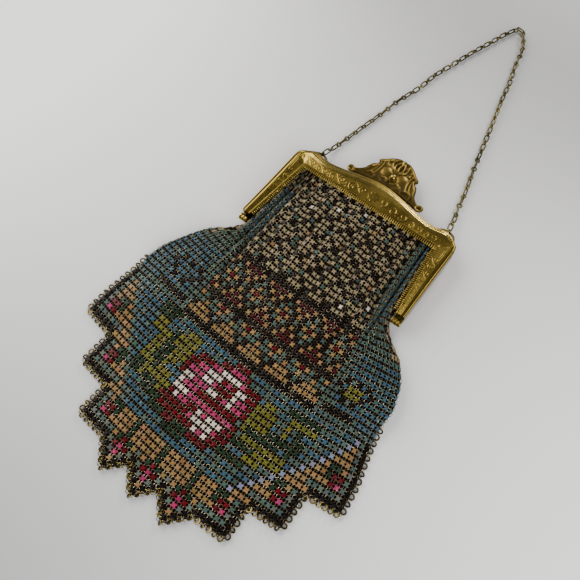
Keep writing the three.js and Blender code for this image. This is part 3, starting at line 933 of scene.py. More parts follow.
@dataclass
class MeshPouch:
    """The two layers of linked tiles, their rings and the rings along the free edge."""

    chart: Chart = field(default_factory=Chart)
    pitch: float = 2.5
    row_pitch: float = 2.75
    skin: float = 0.42
    tile_rim: float = 0.2
    tile_dome: float = 0.12
    ring_radius: float = 0.84
    ring_wire: float = 0.115
    ring_lift: float = 0.04
    edge_radius: float = 1.04
    edge_wire: float = 0.34
    # How far the edge rings stand out, and the ranges of angle at which they lean in turn.
    edge_reach: float = 0.5
    edge_leans: tuple[tuple[float, float], ...] = ((0.6, 1.0), (0.2, 0.5))
    # How unevenly the tiles and the rings lie.
    tile_tilt: float = 0.075
    ring_tilt: float = 0.12
    # How much smaller the gathered tiles are, and the heights between which they shrink.
    shrink: float = 0.1
    shrink_ends: tuple[float, float] = (60.0, 100.0)
    # How much the tiles differ in shade and in hue.
    shade_spread: float = 0.11
    hue_spread: float = 0.05
    # Thickness and places of the two dark sheets of painted shade between the layers.
    shade_sheet_thickness: float = 0.1
    shade_sheet_shares: tuple[float, float] = (0.33, 0.67)
    foot_y: float = -3.0
    bar_y: float = 148.0
    top_y: float = 149.0
    level_step: float = 0.5
    # How far the rows sag towards the sides, and the heights between which the sag fades.
    sag: float = 0.0078
    sag_fade: tuple[float, float] = (92.0, 150.0)
    edge_tiles: float = 5.0
    # Each layer's lowest height, and how many tiles the back is shifted by.
    front_low: float = 1.05
    back_low: float = 0.42
    back_slip: float = 0.5
    levels: tuple[Level, ...] = (
        Level(-3.0, 64.4, 64.6, 2.4, 0.0, 0.16),
        Level(9.0, 64.4, 64.6, 2.5, 0.0, 0.16),
        Level(24.0, 64.4, 64.6, 3.0, 0.0, 0.18),
        Level(40.5, 64.4, 64.6, 3.7, 0.0, 0.22),
        Level(52.0, 64.2, 63.4, 4.8, 0.0, 0.32),
        Level(63.0, 62.8, 60.4, 6.0, 0.0, 0.44),
        Level(72.1, 61.8, 58.6, 7.0, 0.0, 0.5),
        Level(82.0, 58.8, 59.0, 7.8, 0.0, 0.54),
        Level(92.0, 53.4, 55.6, 8.5, 0.0, 0.54),
        Level(100.0, 48.0, 49.4, 8.9, 0.0, 0.5),
        Level(104.4, 41.6, 41.6, 9.0, 0.0, 0.4),
        Level(110.2, 37.4, 37.4, 9.1, 0.2, 0.22),
        Level(118.3, 36.9, 36.9, 9.0, 0.4, 0.14),
        Level(128.7, 36.0, 36.0, 8.8, 0.6, 0.12),
        Level(139.0, 35.1, 35.1, 8.5, 0.8, 0.1),
        Level(149.0, 34.4, 34.4, 8.2, 0.9, 0.1),
    )
    drapes: tuple[Drape, ...] = (
        Drape(-3.0, 0.6, -36.2, 37.6),
        Drape(24.0, 0.9, -34.9, 36.7),
        Drape(40.0, 1.3, -33.6, 36.2),
        Drape(55.0, 1.9, -31.7, 35.5),
        Drape(65.0, 2.2, -30.6, 34.3),
        Drape(87.0, 2.5, -30.0, 33.4),
        Drape(100.0, 2.2, -29.8, 31.6),
        Drape(118.0, 1.2, -29.4, 28.9),
        Drape(149.0, 0.0, -28.6, 27.2),
    )
    row_table: tuple[tuple[float, float], ...] = (
        (-0.5, 0.1), (0.0, 1.4), (8.0, 22.7), (22.0, 62.9), (26.0, 73.4), (35.0, 96.6), (53.5, 148.0),
    )
    folds: tuple[Fold, ...] = (
        Fold(-35.2, -39.5, 94.0, 3.4, 1.2),
        Fold(-31.4, -34.5, 88.0, 4.0, 1.2),
        Fold(-28.4, -30.6, 80.0, 2.6, 1.2),
        Fold(-24.4, -25.2, 96.0, 1.5, 1.5),
        Fold(-19.4, -19.8, 92.0, 1.3, 1.5),
        Fold(-12.2, -12.5, 90.0, 1.6, 1.6),
        Fold(-5.6, -5.5, 94.0, 1.3, 1.5),
        Fold(2.8, 3.3, 84.0, 1.5, 1.5),
        Fold(8.2, 9.0, 100.0, 0.9, 1.4),
        Fold(12.8, 13.4, 92.0, 1.4, 1.5),
        Fold(17.2, 18.6, 88.0, 1.5, 1.5),
        Fold(22.8, 25.0, 72.0, 1.9, 1.5),
        Fold(27.2, 30.0, 90.0, 2.6, 1.4),
        Fold(30.6, 34.5, 90.0, 4.0, 1.2),
        Fold(34.4, 38.5, 94.0, 3.4, 1.2),
    )

    def _table(self, heights: Array, rows: Sequence[tuple], place: int) -> Array:
        """Reads one column of a table at many heights, softened along y.

        Args:
            heights: The heights.
            rows: The table, with its heights first.
            place: Which column is read.

        Returns:
            The column's value at each height.
        """
        plain = np.interp(heights, [row[0] for row in rows], [row[place] for row in rows])
        reach = np.arange(-8, 9)
        weight = np.exp(-((reach / 4.0) ** 2))
        padded = np.pad(plain, 8, mode="edge")
        return np.convolve(padded, weight / weight.sum(), mode="valid")

    def _folded(self, x: Array, y: float) -> Array:
        """How deep the gathers press the front in at a height.

        Args:
            x: Places across.
            y: The height.

        Returns:
            The depth at each place.
        """
        depth = np.zeros_like(x)
        for fold in self.folds:
            share = (y - fold.low_y) / (self.bar_y - fold.low_y)
            if share > -0.1:
                middle = fold.low_x + (fold.top_x - fold.low_x) * min(1.0, max(0.0, share)) ** 0.7
                fade = float(smooth(share, -0.1, 0.45))
                depth += fold.depth * fade * np.exp(-(((x - middle) / fold.width) ** 2))
        return depth

    def _columns(self, x: Array, z: Array, drape: Sequence[float]) -> tuple[Array, Array]:
        """Shares a level's section out among the columns by its length.

        Args:
            x: The section's places across.
            z: Its heights.
            drape: The middle column's place and the panel's two edges.

        Returns:
            Where each half column stands and how high.
        """
        run = np.concatenate([[0.0], np.cumsum(np.hypot(np.diff(x), np.diff(z)))])
        at = [float(np.interp(place, x, run)) for place in drape]
        edge = self.chart.columns + 0.5
        inner = self.chart.panel + 0.5
        knots = [0.0, at[1], at[0], at[2], run[-1]]
        length = np.interp(self.half_columns, [-edge, -inner, 0.0, inner, edge], knots)
        return np.interp(length, run, x), np.interp(length, run, z)

    @property
    def half_columns(self) -> Array:
        """Every half column, from the left seam to the right one."""
        edge = self.chart.columns + 0.5
        return np.arange(-edge, edge + 0.25, 0.5)

    @property
    def half_rows(self) -> Array:
        """Every half row, from the tips to the frame."""
        return np.arange(-0.5, self.chart.rows + 0.75, 0.5)

    def nearness(self) -> Array:
        """How far each half place lies from the free edge, as a share of a few tiles.

        Returns:
            Shares from 0 at the edge to 1, by half row and half column.
        """
        reach = self.chart.columns + 4
        holes = [
            (c, r) for c in range(-reach, reach + 1) for r in range(-4, 22)
            if not (abs(c) <= self.chart.columns and self.chart.exists(c, r))
        ]
        gone = np.array(holes, float)
        c, r = np.meshgrid(self.half_columns, self.half_rows)
        across = np.abs(c[..., None] - gone[:, 0]) - 0.5
        along = np.abs(r[..., None] - gone[:, 1]) - 0.5
        away = np.hypot(np.maximum(across, 0), np.maximum(along, 0)).min(-1)
        return smooth(away, 0.0, self.edge_tiles)

    def surfaces(self) -> tuple[Array, Array]:
        """Works out both layers.

        Returns:
            The front's and the back's points at every half row and half column.
        """
        heights = np.arange(self.foot_y, self.top_y + 0.01, self.level_step)
        read = [self._table(heights, self.levels, i) for i in range(1, 6)]
        drape = [self._table(heights, self.drapes, i) for i in range(1, 4)]
        angle = np.linspace(-math.pi / 2, math.pi / 2, 1401)
        tables = {"fx": [], "fz": [], "bx": [], "bz": []}
        for k, y in enumerate(heights):
            left, right, top, bottom, rounding = (column[k] for column in read)
            across = np.sin(angle)
            lift = np.sqrt(np.maximum(0.0, 1.0 - np.abs(across) ** (2.0 / rounding)))
            x = (right - left) / 2 + across * (right + left - 0.8) / 2
            middle, tall = (top + bottom) / 2, (top - bottom) / 2 - self.skin
            front = middle + lift * tall - self._folded(x, y) * lift
            back = middle - lift * tall + 0.45 * self._folded(x, y) * lift
            for key, z in (("f", np.maximum(front, bottom + 1.2)), ("b", back)):
                places, rise = self._columns(x, z, [column[k] for column in drape])
                tables[key + "x"].append(places)
                tables[key + "z"].append(rise)
        near = self.nearness()
        layers = []
        for key, lowest, slip in (("f", self.front_low, 0.0), ("b", self.back_low, self.back_slip)):
            c, r = np.meshgrid(self.half_columns, self.half_rows)
            level = np.interp(r - slip * near, *zip(*self.row_table))
            y = level + self.sag * c**2 * (1.0 - smooth(level, *self.sag_fade))
            grid = np.zeros((*y.shape, 3))
            for i in range(y.shape[1]):
                grid[:, i, 0] = np.interp(y[:, i], heights, np.array(tables[key + "x"])[:, i])
                grid[:, i, 2] = np.interp(y[:, i], heights, np.array(tables[key + "z"])[:, i])
            if slip:
                moved = np.roll(grid[..., 0], 1, axis=1)
                moved[:, 0] = grid[:, 0, 0]
                grid[..., 0] += near * (moved - grid[..., 0])
            grid[..., 1] = y
            grid[..., 2] = lowest + (np.maximum(grid[..., 2], lowest) - lowest) * near
            layers.append(grid)
        return layers[0], layers[1]

    def tile(self) -> Form:
        """Models one tile: a plate with hollow sides, four corner arms and a raised face.

        Returns:
            The tile, in millimetres.
        """
        waist, near, far, end = (0.76, 0.0), (1.12, 0.7), (0.84, 1.04), (0.0, 0.7)
        Bench.clear()
        bpy.ops.mesh.primitive_circle_add(vertices=12, radius=1.0, fill_type="NGON")
        obj = bpy.context.object
        for vertex in obj.data.vertices:
            x, y = abs(vertex.co.x), abs(vertex.co.y)
            wide, tall = end if x < 0.1 else waist if y < 0.1 else near if x > y else far
            vertex.co = (math.copysign(wide, vertex.co.x), math.copysign(tall, vertex.co.y), 0.0)
        bpy.ops.object.mode_set(mode="EDIT")
        bpy.ops.mesh.select_all(action="SELECT")
        bpy.ops.mesh.extrude_region_move(TRANSFORM_OT_translate={"value": (0, 0, self.tile_rim)})
        bpy.ops.mesh.inset(thickness=0.09)
        bpy.ops.transform.translate(value=(0, 0, self.tile_dome))
        bpy.ops.mesh.select_all(action="SELECT")
        bpy.ops.mesh.normals_make_consistent(inside=False)
        bpy.ops.object.mode_set(mode="OBJECT")
        form = Bench.as_form(obj)
        reach = np.abs(form.points[:, 0]) + np.abs(form.points[:, 1])
        form.points[:, 2] -= 0.12 * smooth(reach, 1.2, 1.9)
        return form

    def ring(self, major: int, minor: int, radius: float, wire: float) -> Form:
        """Models one round wire ring.

        Args:
            major: How many sides it has around.
            minor: How many sides its wire has.
            radius: Its middle radius.
            wire: Its wire's radius.

        Returns:
            The ring.
        """
        Bench.clear()
        bpy.ops.mesh.primitive_torus_add(
            major_segments=major, minor_segments=minor, major_radius=radius, minor_radius=wire
        )
        return Bench.as_form(bpy.context.object)

    def _axes(self, grid: Array, rows: Array, columns: Array) -> tuple[Array, Array, Array]:
        """The column way, the row way and the outward way at grid places.

        Args:
            grid: The layer's points.
            rows: The places' half rows.
            columns: Their half columns.

        Returns:
            The three ways, of length 1 where the mesh lies flat.
        """
        last_r, last_c = grid.shape[0] - 1, grid.shape[1] - 1
        r0, r1 = np.maximum(rows - 1, 0), np.minimum(rows + 1, last_r)
        c0, c1 = np.maximum(columns - 1, 0), np.minimum(columns + 1, last_c)
        u = (grid[rows, c1] - grid[rows, c0]) * (2.0 / (c1 - c0))[:, None]
        v = (grid[r1, columns] - grid[r0, columns]) * (2.0 / (r1 - r0))[:, None]
        n = np.cross(u, v)
        n /= np.linalg.norm(n, axis=1)[:, None]
        return u / self.pitch, v / self.row_pitch, n

    @staticmethod
    def _uneven(
        ways: tuple[Array, Array, Array], back: bool, tilt: float, rng: np.random.Generator
    ) -> tuple[Array, Array, Array]:
        """Tilts each copy a little, so that no two lie alike.

        Args:
            ways: The column ways, the row ways and the outward ways.
            back: Whether the layer faces down.
            tilt: How much the copies tilt.
            rng: The layer's random numbers.

        Returns:
            The three ways, tilted.
        """
        u, v, n = ways
        if back:
            u, n = -u, -n
        lean = rng.normal(0.0, tilt, (len(n), 2))
        n = n + lean[:, :1] * u + lean[:, 1:] * v
        return u - lean[:, :1] * n, v - lean[:, 1:] * n, n

    def layer(
        self, name: str, grid: Array, back: bool, material: bpy.types.Material, metal: bpy.types.Material
    ) -> None:
        """Builds one layer's tiles and the rings that link them.

        Args:
            name: The layer's name.
            grid: Its points at every half row and half column.
            back: Whether it faces down.
            material: The enamel.
            metal: The rings' metal.
        """
        rng = np.random.default_rng(7 if back else 3)
        chart = self.chart
        tiles = [(c, r) for r in range(chart.rows + 1) for c in range(-chart.columns, chart.columns + 1)
                 if chart.exists(c, r)]
        place = np.array(tiles)
        rows, columns = 2 * place[:, 1] + 1, 2 * (place[:, 0] + chart.columns) + 1
        u, v, n = self._uneven(self._axes(grid, rows, columns), back, self.tile_tilt, rng)
        size = 1.0 - self.shrink * smooth(grid[rows, columns, 1], *self.shrink_ends)[:, None]
        form = self.tile()
        obj = Bench.spread(name + "_tiles", form, grid[rows, columns], u * size, v * size, n)
        self._colour(obj, form, tiles, rng)
        Bench.dress(obj, material, "purse", "enamelled_mesh", "mesh_bag")
        links = sorted({(c + i, r + j) for c, r in tiles for i in (0, 1) for j in (0, 1)})
        place = np.array(links)
        rows, columns = 2 * place[:, 1], 2 * (place[:, 0] + chart.columns)
        u, v, n = self._uneven(self._axes(grid, rows, columns), back, self.ring_tilt, rng)
        ring = self.ring(*((6, 3) if back else (8, 3)), self.ring_radius, self.ring_wire)
        centres = grid[rows, columns] + self.ring_lift * n
        rings = Bench.spread(name + "_rings", ring, centres, u, v, n)
        Bench.dress(rings, metal, "purse", "enamelled_mesh")

    def _colour(
        self, obj: bpy.types.Object, form: Form, tiles: Sequence[tuple[int, int]], rng: np.random.Generator
    ) -> None:
        """Writes each tile's colour, with painted shade on its underside and lower rim, and its own flat
        coordinates onto the joined mesh.

        Args:
            obj: The joined tiles.
            form: The tile that was copied.
            tiles: The column and row of each copy.
            rng: The layer's random numbers.
        """
        shades = np.array([linear(self.chart.colour(c, r).value) for c, r in tiles])
        shades *= rng.normal(1.0, self.shade_spread, (len(tiles), 1)).clip(0.6, 1.4)
        shades *= rng.normal(1.0, self.hue_spread, shades.shape)
        worn = rng.random(len(tiles)) ** 3
        # Painted shade: the underside and the lower part of each tile's rim are darkened to 0.12 of the
        # tile's colour.
        painted_underside_shade = 0.12 + 0.88 * smooth(form.points[:, 2], 0.0, 0.6 * self.tile_rim)
        colours = np.ones((len(tiles), len(form.points), 4))
        colours[..., :3] = shades.clip(0, 1)[:, None] * painted_underside_shade[None, :, None]
        colours[..., 3] = worn[:, None]
        mesh = obj.data
        paint = mesh.color_attributes.new("enamel", "FLOAT_COLOR", "POINT")
        paint.data.foreach_set("color", colours.ravel())
        flat = mesh.uv_layers.new(name="tile")
        corners = np.concatenate([form.points[list(face), :2] for face in form.faces])
        flat.data.foreach_set("uv", np.tile(corners, (len(tiles), 1)).ravel())

    def edge_rings(self, front: Array, back: Array, metal: bpy.types.Material) -> None:
        """Builds the larger rings that join both layers along the free edge.

        Args:
            front: The front layer's points.
            back: The back layer's points.
            metal: The rings' finish.
        """
        chart, rng = self.chart, np.random.default_rng(11)
        centres, u, v, n = [], [], [], []
        for row in range(0, 25):
            for column in range(-chart.columns, chart.columns + 1):
                if not chart.exists(column, row):
                    continue
                for dc, dr in ((1, 0), (-1, 0), (0, -1)):
                    inside = abs(column + dc) <= chart.columns and chart.exists(column + dc, row + dr)
                    if inside:
                        continue
                    i, j = 2 * row + 1 + dr, 2 * (column + chart.columns) + 1 + dc
                    spot = (front[i, j] + back[i, j]) / 2
                    out = np.array((dc, dr, 0.0), float)
                    lean = rng.uniform(*self.edge_leans[(row + column) % 2])
                    side = np.array((-out[1], out[0], 0.0))
                    level = math.cos(lean) * side + math.sin(lean) * np.array((0, 0, 1.0))
                    centres.append(spot + self.edge_reach * out)
                    u.append(out)
                    v.append(level)
                    n.append(np.cross(out, level))
        ring = self.ring(14, 6, self.edge_radius, self.edge_wire)
        obj = Bench.spread("edge_rings", ring, *(np.array(a) for a in (centres, u, v, n)))
        Bench.smooth_over(obj, 60)
        Bench.dress(obj, metal, "purse", "enamelled_mesh")

    def shade_sheets(self, front: Array, back: Array, cloth: bpy.types.Material) -> None:
        """Builds two thin dark sheets between the layers, painted shade of the pouch's inside, which show
        through every hole.

        Args:
            front: The front layer's points.
            back: The back layer's points.
            cloth: The dark sheets' finish.
        """
        chart = self.chart
        # Painted shade: two thin dark sheets between the layers stand in for the shade inside the pouch.
        sheets = [(back + (front - back) * share)[::2, ::2] for share in self.shade_sheet_shares]
        count = sheets[0].shape[1]
        faces = []
        for place, sheet in enumerate(sheets):
            for row in range(chart.rows + 1):
                for column in range(-chart.columns, chart.columns + 1):
                    if chart.exists(column, row):
                        first = place * len(sheet) * count + row * count + column + chart.columns
                        faces.append([first, first + 1, first + 1 + count, first + count])
        obj = Bench.build("shade_sheets", np.concatenate(sheets).reshape(-1, 3), faces)
        Bench.tidy(obj)
        Bench.modify(obj, "SOLIDIFY", thickness=self.shade_sheet_thickness * MM, offset=0.0)
        Bench.dress(obj, cloth, "purse", "enamelled_mesh")

    def make(
        self, enamel: bpy.types.Material, metal: bpy.types.Material, edge: bpy.types.Material,
        cloth: bpy.types.Material,
    ) -> None:
        """Builds both layers, the two dark sheets of painted shade between them, and the edge.

        Args:
            enamel: The tiles' finish.
            metal: The linking rings' finish.
            edge: The edge rings' finish.
            cloth: The dark sheets' finish.
        """
        front, back = self.surfaces()
        self.shade_sheets(front, back, cloth)
        self.layer("front", front, False, enamel, metal)
        self.layer("back", back, True, enamel, metal)
        self.edge_rings(front, back, edge)


# Frame


class Leaf(NamedTuple):
    """One raised leaf: its root, its angle in degrees, its length and its width."""

    x: float
    y: float
    angle: float
    length: float
    width: float


class Side(Enum):
    """Which half of the frame, with the sign of its face's direction."""

    FRONT = 1
    BACK = -1


class Section(NamedTuple):
    """The pressed face at every station, each value in rows of stations."""

    away: Array
    level: Array
    across: Array
    bar: Array
    tall: Array


@dataclass
class ClosingFrame:
    """The two pressed halves of the frame, their wire rows, hinges, ears and lugs."""

    half_width: float = 41.5
    top_y: float = 148.2
    arm_end: float = 113.8
    inner_top: float = 34.6
    inner_tip: float = 37.5
    thickness: float = 10.0
    joint_gap: float = 0.15
    wall: float = 1.1
    corner_rise: float = 6.4
    arch_rise: float = 12.2
    relief: float = 0.1
    tooth_pitch: float = 0.95
    tooth_length: float = 0.75
    tooth_radius: float = 0.23
    tooth_reach: float = 0.72
    tooth_dip: float = 0.22
    tooth_depth: float = 1.62
    tooth_margins: tuple[float, float] = (0.9, 0.7)
    ear_x: float = 33.6
    ear_half: float = 4.2
    ear_reach: float = 4.0
    ear_wire: float = 0.55
    lug_x: float = 6.5
    lug_half: float = 1.2
    lug_radius: float = 1.25
    lift_rise: float = 1.55
    lift_z: float = 2.55
    pin_radius: float = 0.5
    field_points: int = 34
    wall_points: int = 5
    # Distances from the middle between which the bar's section turns into the arms'.
    bar_ends: tuple[float, float] = (33.0, 41.0)
    # Distances between which the bar's ridge grows low, and how much of it goes.
    ridge_ends: tuple[float, float] = (8.0, 36.0)
    ridge_loss: float = 0.55
    # Fine grooves along the arms, by distance from the outer edge.
    grooves: tuple[float, ...] = (1.9, 2.6, 3.3)
    groove_width: float = 0.17
    vine_start: float = 5.4
    vine_length: float = 32.0
    flower_y: float = 152.1
    barrel_radius: float = 1.5
    barrel_length: float = 4.0
    barrel_neck: float = 0.68
    barrel_cuts: tuple[float, ...] = (-0.76, -0.6, 0.6, 0.76, 0.68, -0.68)
    # From the outer edge inwards: distance, and level below the frame's top.
    bar_face: tuple[tuple[float, float], ...] = (
        (0.0, -2.0), (0.2, -1.62), (0.5, -1.42), (0.85, -1.36), (1.05, -1.4), (1.3, -1.26), (1.7, -1.08),
        (1.95, -1.06), (2.1, -1.1), (2.35, -0.75), (2.8, -0.2), (3.3, 0.0), (3.8, -0.1), (4.3, -0.34),
        (4.75, -0.6), (5.0, -0.7),
    )
    arm_face: tuple[tuple[float, float], ...] = (
        (0.0, -2.1), (0.1, -1.7), (0.25, -1.38), (0.45, -1.16), (0.65, -1.1), (0.85, -1.2), (1.0, -1.46),
        (1.1, -1.54), (1.2, -1.44), (1.4, -1.3), (1.6, -1.24), (1.75, -1.21), (1.9, -1.2), (2.05, -1.2),
        (2.2, -1.2), (2.35, -1.2),
    )
    flower: tuple[Leaf, ...] = tuple(
        Leaf(0.0, 152.1, 90 - 45 * k, 2.9 - 0.25 * (k % 2), 0.85 - 0.15 * (k % 2)) for k in range(5)
    )
    corner: tuple[Leaf, ...] = (
        Leaf(35.0, 148.7, 47, 6.0, 0.75), Leaf(35.0, 148.6, 20, 4.3, 0.6), Leaf(35.0, 148.6, 76, 5.0, 0.6),
        Leaf(35.0, 148.6, -6, 3.2, 0.5), Leaf(35.0, 148.6, 100, 3.8, 0.5),
    )

    def arch(self, share: Array) -> Array:
        """The bar's height above its inner edge, by share of its half length.

        Args:
            share: Places along the bar, 0 at its middle and 1 at its end.

        Returns:
            The heights.
        """
        near = np.abs(share)
        bow = 0.5 + 0.5 * np.cos(np.pi * np.minimum(1.0, near / 0.82))
        ear = np.exp(-(((near - 1.0) / 0.13) ** 2))
        return self.corner_rise + (self.arch_rise - self.corner_rise) * (bow + 0.22 * ear) + 1.2 * (1 - bow)

    def rails(self) -> tuple[Array, Array]:
        """The frame's inner and outer edges, station by station, left arm to right arm.

        Returns:
            The two edges.
        """
        share = np.linspace(0.0, 1.0, 130)
        y = self.arm_end + (self.top_y - self.corner_rise * 0.2 - self.arm_end) * share
        inner = np.stack([-(self.inner_tip + (self.inner_top - self.inner_tip) * share), y], 1)
        outer = np.stack([np.full_like(y, -self.half_width), y], 1)
        corner = [(1.0, -0.05), (1.0, 0.35), (0.985, 0.75), (0.94, 1.0), (0.885, 1.2)]
        places = [(-self.half_width * a, self.top_y + self.corner_rise * b) for a, b in corner]
        places.append((-self.inner_top, self.top_y + float(self.arch(np.array(1.0)))))
        knots = np.array(places)
        run = np.linspace(0, len(knots) - 1, 50)[:-1]
        turn = np.stack([np.interp(run, range(len(knots)), knots[:, i]) for i in (0, 1)], 1)
        held = np.repeat([[-self.inner_top, self.top_y]], len(turn), 0)
        x = np.linspace(-self.inner_top, 0.0, 190)
        bar_in = np.stack([x, np.full_like(x, self.top_y)], 1)
        bar_out = np.stack([x, self.top_y + self.arch(x / self.inner_top)], 1)
        left_in = np.concatenate([inner, held, bar_in])
        left_out = np.concatenate([outer, turn, bar_out])
        flip = np.array((-1.0, 1.0))
        return (np.concatenate([left_in, left_in[-2::-1] * flip]),
                np.concatenate([left_out, left_out[-2::-1] * flip]))

    @staticmethod
    def _stroke(x: Array, y: Array, line: Array, width: Array) -> Array:
        """How high one raised stroke stands over many places, from 0 to 1.

        Args:
            x: The places across.
            y: The places up.
            line: The stroke's middle.
            width: Its half width at each point.

        Returns:
            The heights.
        """
        height = np.zeros_like(x)
        low, high = line.min(0) - width.max(), line.max(0) + width.max()
        near = (x > low[0]) & (x < high[0]) & (y > low[1]) & (y < high[1])
        if near.any():
            away = np.hypot(x[near][:, None] - line[:, 0], y[near][:, None] - line[:, 1]) / width
            height[near] = np.sqrt(np.maximum(0.0, 1.0 - away.min(1) ** 2))
        return height

    @staticmethod
    def _leaf(x: Array, y: Array, leaf: Leaf) -> Array:
        """One pointed leaf with a sunk midrib, from 0 to 1.

        Args:
            x: The places across.
            y: The places up.
            leaf: The leaf.

        Returns:
            The heights.
        """
        angle = math.radians(leaf.angle)
        u = (x - leaf.x) * math.cos(angle) + (y - leaf.y) * math.sin(angle)
        v = (y - leaf.y) * math.cos(angle) - (x - leaf.x) * math.sin(angle)
        share = np.clip(u / leaf.length, 0.02, 0.98)
        edge = leaf.width * np.sin(np.pi * share) ** 0.7
        body = np.clip(1.0 - np.abs(v) / edge, 0.0, 1.0) ** 0.5
        inside = (u > 0) & (u < leaf.length)
        return np.where(inside, body * (1.0 - 0.5 * np.exp(-((v / 0.14) ** 2))), 0.0)

    def vine(self, along: Array, up: Array, tall: Callable[[float], float]) -> Array:
        """The rows of curls and leaves that run from the flower to the arms' ends.

        Args:
            along: Places along the inner edge, from the bar's middle outwards.
            up: Their distances from the inner edge.
            tall: The field's height at a place along it.

        Returns:
            Raised heights from 0 to 1.
        """
        height = np.zeros_like(along)
        share = np.linspace(0, 1, 70)
        place, hand = self.vine_start, 1
        while place < self.inner_top + self.vine_length:
            field_height = tall(place)
            reach = min(0.34 * field_height, 1.9)
            if abs(place - self.inner_top) > reach * 0.8:
                middle = (0.53 + 0.07 * hand) * field_height
                angle = np.radians(90 * hand + 180) + hand * np.radians(400) * share
                spiral = reach * (1 - 0.8 * share)
                line = np.stack([place + spiral * np.cos(angle), middle + spiral * np.sin(angle)], 1)
                width = (0.1 + 0.07 * reach) * (1 - 0.35 * share)
                height = np.maximum(height, self._stroke(along, up, line, width))
                height = np.maximum(height, self._stroke(along, up, line[-1:], width[-1:] * 1.3))
                bend = middle - hand * reach * np.cos(np.pi * share)
                stem = np.stack([place + 2.75 * reach * share, bend], 1)
                height = np.maximum(height, 0.9 * self._stroke(along, up, stem, width * 0.8))
                for turn, size in ((62, 0.9), (20, 1.15), (-30, 0.8)):
                    root_x, root_y = place + reach * 0.95, middle + hand * 0.15 * reach
                    leaf = Leaf(root_x, root_y, hand * turn, size * reach, 0.2 * reach)
                    height = np.maximum(height, self._leaf(along, up, leaf))
            place += 2.0 * reach + 0.75 * reach
            hand = -hand
        return height

    def pattern(self, x: Array, y: Array, run: Array, up: Array, tall: Array) -> Array:
        """The pressed flower, vine, corner leaves and beads over the face.

        Args:
            x: Places across, in purse millimetres, rows of stations.
            y: Places up.
            run: Each station's place along the inner edge, from the bar's middle.
            up: Each place's distance from the inner edge.
            tall: The field's height at each station.

        Returns:
            Raised heights from 0 to 1.
        """
        along = np.broadcast_to(np.abs(run)[:, None], x.shape)
        order = np.argsort(np.abs(run))
        reach = np.abs(run)[order]
        height = self.vine(along, up, lambda place: float(np.interp(place, reach, tall[order])))
        height *= 1.0 - 0.75 * smooth(along, self.inner_top + 4.0, self.inner_top + 30.0)
        mirrored = np.abs(x)
        at_corner = (mirrored > self.inner_top - 0.5) & (y > self.top_y - 2.0)
        height = np.where(at_corner, 0.0, height)
        for leaf in (*self.flower, *self.corner):
            height = np.maximum(height, self._leaf(mirrored, y, leaf))
        heart = np.array([(0.0, self.flower_y)])
        height = np.maximum(height, self._stroke(mirrored, y, heart, np.array([0.75])))
        beads = np.arange(0.5, self.inner_top + 33.0, self.tooth_pitch)
        line = np.stack([beads, np.full(len(beads), 0.85)], 1)
        return np.maximum(height, 0.4 * self._stroke(along, up, line, np.full(len(beads), 0.36)))

    def section(self, inner: Array, outer: Array) -> Section:
        """Works out the face, from the outer edge inwards.

        Args:
            inner: The inner edge, station by station.
            outer: The outer edge.

        Returns:
            The distances from the outer edge, the levels below the frame's top, how far across
            the field each place lies, how much each station belongs to the bar, and the
            field's height.
        """
        width = np.linalg.norm(outer - inner, axis=1)
        middle = np.abs(outer[:, 0])
        on_bar = inner[:, 1] >= self.top_y - 1e-6
        bar = np.where(on_bar, 1.0 - smooth(middle, *self.bar_ends), 0.0)[:, None]
        taper = 1.0 - self.ridge_loss * smooth(middle, *self.ridge_ends)[:, None]
        place_b, level_b = np.array(self.bar_face).T
        place_a, level_a = np.array(self.arm_face).T
        scale_b = np.clip(0.5 + 0.5 * width / self.arch_rise, 0.7, 1.0)[:, None]
        scale_a = np.clip(width / 5.5, 0.75, 1.0)[:, None]
        foot = level_b[-1]
        ridge = np.where(level_b > foot, foot + (level_b - foot) * taper, level_b)
        place = bar * place_b * scale_b + (1 - bar) * place_a * scale_a
        level = bar * ridge + (1 - bar) * level_a
        share = np.linspace(0.0, 1.0, self.field_points)[1:]
        tall = width - place[:, -1]
        away = np.concatenate([place, place[:, -1:] + tall[:, None] * share], 1)
        lip = 0.1 * np.exp(-(((1 - share) * tall[:, None] - 0.3) / 0.2) ** 2)
        field_level = level[:, -1:] - 0.5 * share - 0.3 * smooth(share, 0.985, 1.0) + lip
        level = np.concatenate([level, field_level], 1)
        shares = np.broadcast_to(share, (len(width), len(share)))
        across = np.concatenate([np.zeros_like(place), shares], 1)
        return Section(away, level, across, bar, tall)

    def channel_inside(self, outer: Array, way: Array, width: Array, z: Array) -> Array:
        """The channel's inner side, from the inner edge back to the outer wall.

        Args:
            outer: The outer edge, station by station.
            way: The direction from the inner edge to the outer one.
            width: How far apart they are.
            z: The face's heights.

        Returns:
            Its points, in rows of stations.
        """
        low = self.thickness / 2 + self.joint_gap
        back_in = width[:, None] * np.array((0.0, 0.35, 0.7)) + np.array((0.15, 0.1, -0.1))
        away = np.concatenate([width[:, None] - back_in, np.full((len(width), 2), self.wall)], 1)
        under_face = z[:, -1:] - np.array((0.9, 0.95, 1.1))
        height = np.concatenate([under_face, z[:, :1] - 0.3, 0 * z[:, :1] + low], 1)
        x, y = (outer[:, i:i + 1] - way[:, i:i + 1] * away for i in (0, 1))
        return np.stack([x, y, height], -1)

